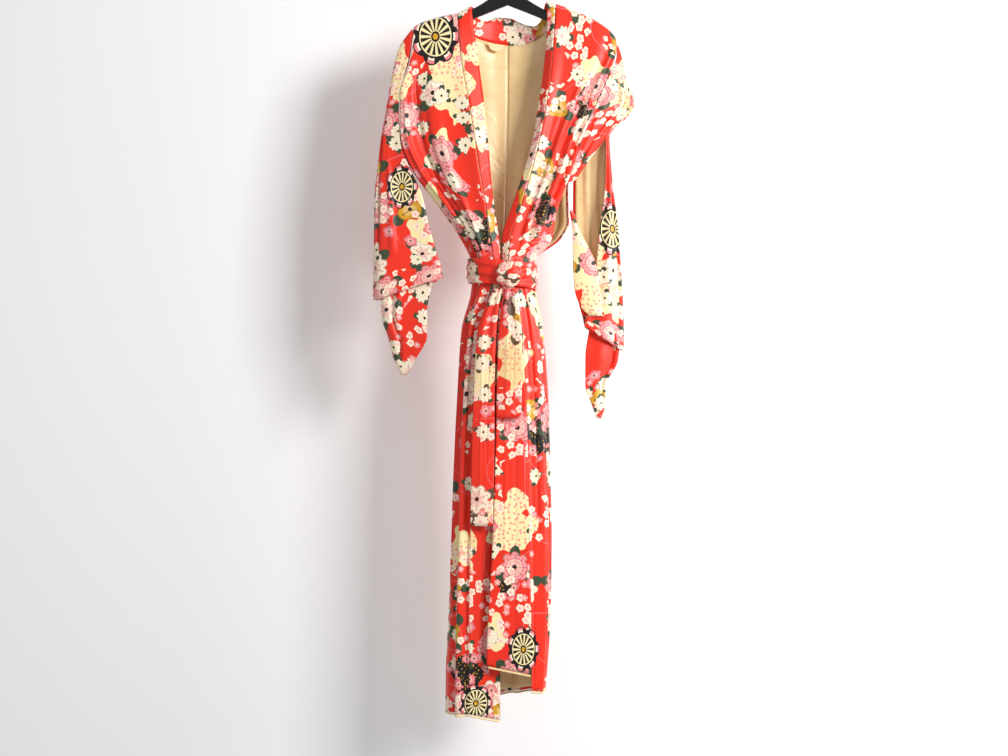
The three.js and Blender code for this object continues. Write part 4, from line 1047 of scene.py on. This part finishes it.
class KIMONO_OT_hanger(bpy.types.Operator):
    """The plastic hanger, its wire hook and the blank tab at the neck"""
    bl_idname = "kimono.hanger"
    bl_label = "Hanger"

    def execute(self, context):
        s = context.scene.kimono
        plastic = plain("Black moulded plastic", s.plastic, 0.28)
        steel = plain("Blackened steel wire", "#1A1A1B", 0.3, 0.8)
        lining = kit()["lining"]
        for name, material in (("hanger", plastic), ("hanger_hook", steel), ("neck_tab", lining)):
            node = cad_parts[name]
            node.data.materials.clear()
            node.data.materials.append(material)
        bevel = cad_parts["hanger"].modifiers.new("Soft edges", "BEVEL")
        bevel.width = 0.0012
        bevel.segments = 3
        return {"FINISHED"}


class KIMONO_OT_stage(bpy.types.Operator):
    """The wall behind, the lights and the camera"""
    bl_idname = "kimono.stage"
    bl_label = "Stage"

    def execute(self, context):
        bpy.ops.object.select_all(action="DESELECT")
        bpy.ops.mesh.primitive_plane_add(size=12, location=(0, WALL_Y, -0.9), rotation=(math.pi / 2, 0, 0))
        wall = context.object
        wall.name = "backdrop"
        wall.data.materials.append(wall_paint())
        lamps = (
            ("key", (2.0, -2.2, 0.3), (0.0, 0.0, -0.8), 1.0, 92, "#FFFFFF"),
            ("fill", (-1.6, -2.8, -0.7), (0.0, 0.0, -0.9), 2.2, 9, "#FFFFFF"),
            ("rim", (1.6, -0.35, -0.8), (0.6, 0.34, -0.8), 0.9, 15, "#FFFFFF"),
            ("back", (0.5, 2.6, 0.6), (0.0, 0.0, -0.8), 1.6, 30, "#FFFFFF"),
        )
        for name, place, target, size, power, tone in lamps:
            bpy.ops.object.light_add(type="AREA", location=place)
            lamp = context.object
            lamp.name = name
            lamp.data.size = size
            lamp.data.energy = power
            lamp.data.color = srgb(tone)[:3]
            aim = Vector(target) - Vector(place)
            lamp.rotation_euler = aim.to_track_quat("-Z", "Y").to_euler()
        world = context.scene.world or bpy.data.worlds.new("World")
        context.scene.world = world
        world.use_nodes = True
        world.node_tree.nodes["Background"].inputs[0].default_value = srgb("#FFFFFF")
        world.node_tree.nodes["Background"].inputs[1].default_value = 0.42
        bpy.ops.object.camera_add(location=(-0.008, -3.0, -0.888), rotation=(math.pi / 2, 0, 0))
        camera = context.object
        camera.data.lens = 50.8
        camera.data.sensor_width = 36
        context.scene.camera = camera
        context.scene.view_settings.view_transform = "Standard"
        return {"FINISHED"}


PIECES = (KIMONO_OT_fronts, KIMONO_OT_backs, KIMONO_OT_overlaps, KIMONO_OT_collar, KIMONO_OT_sleeves, KIMONO_OT_belt,
          KIMONO_OT_hanger, KIMONO_OT_stage)


class KIMONO_PT_sidebar(bpy.types.Panel):
    """Sizes and colours, and a button for each group of pieces"""
    bl_idname = "KIMONO_PT_sidebar"
    bl_label = "Kimono"
    bl_space_type = "VIEW_3D"
    bl_region_type = "UI"
    bl_category = "Kimono"

    def draw(self, context):
        for name in KimonoSettings.__annotations__:
            self.layout.prop(context.scene.kimono, name)
        for piece in PIECES:
            self.layout.operator(piece.bl_idname)


CLASSES = (KimonoSettings, *PIECES, KIMONO_PT_sidebar)


def register():
    for cls in CLASSES:
        bpy.utils.register_class(cls)
    bpy.types.Scene.kimono = bpy.props.PointerProperty(type=KimonoSettings)


def unregister():
    del bpy.types.Scene.kimono
    for cls in reversed(CLASSES):
        bpy.utils.unregister_class(cls)


def main():
    register()
    bpy.ops.kimono.fronts()
    bpy.ops.kimono.backs()
    bpy.ops.kimono.overlaps()
    bpy.ops.kimono.collar()
    bpy.ops.kimono.sleeves()
    bpy.ops.kimono.belt()
    bpy.ops.kimono.hanger()
    bpy.ops.kimono.stage()


if __name__ == "__main__":
    main()
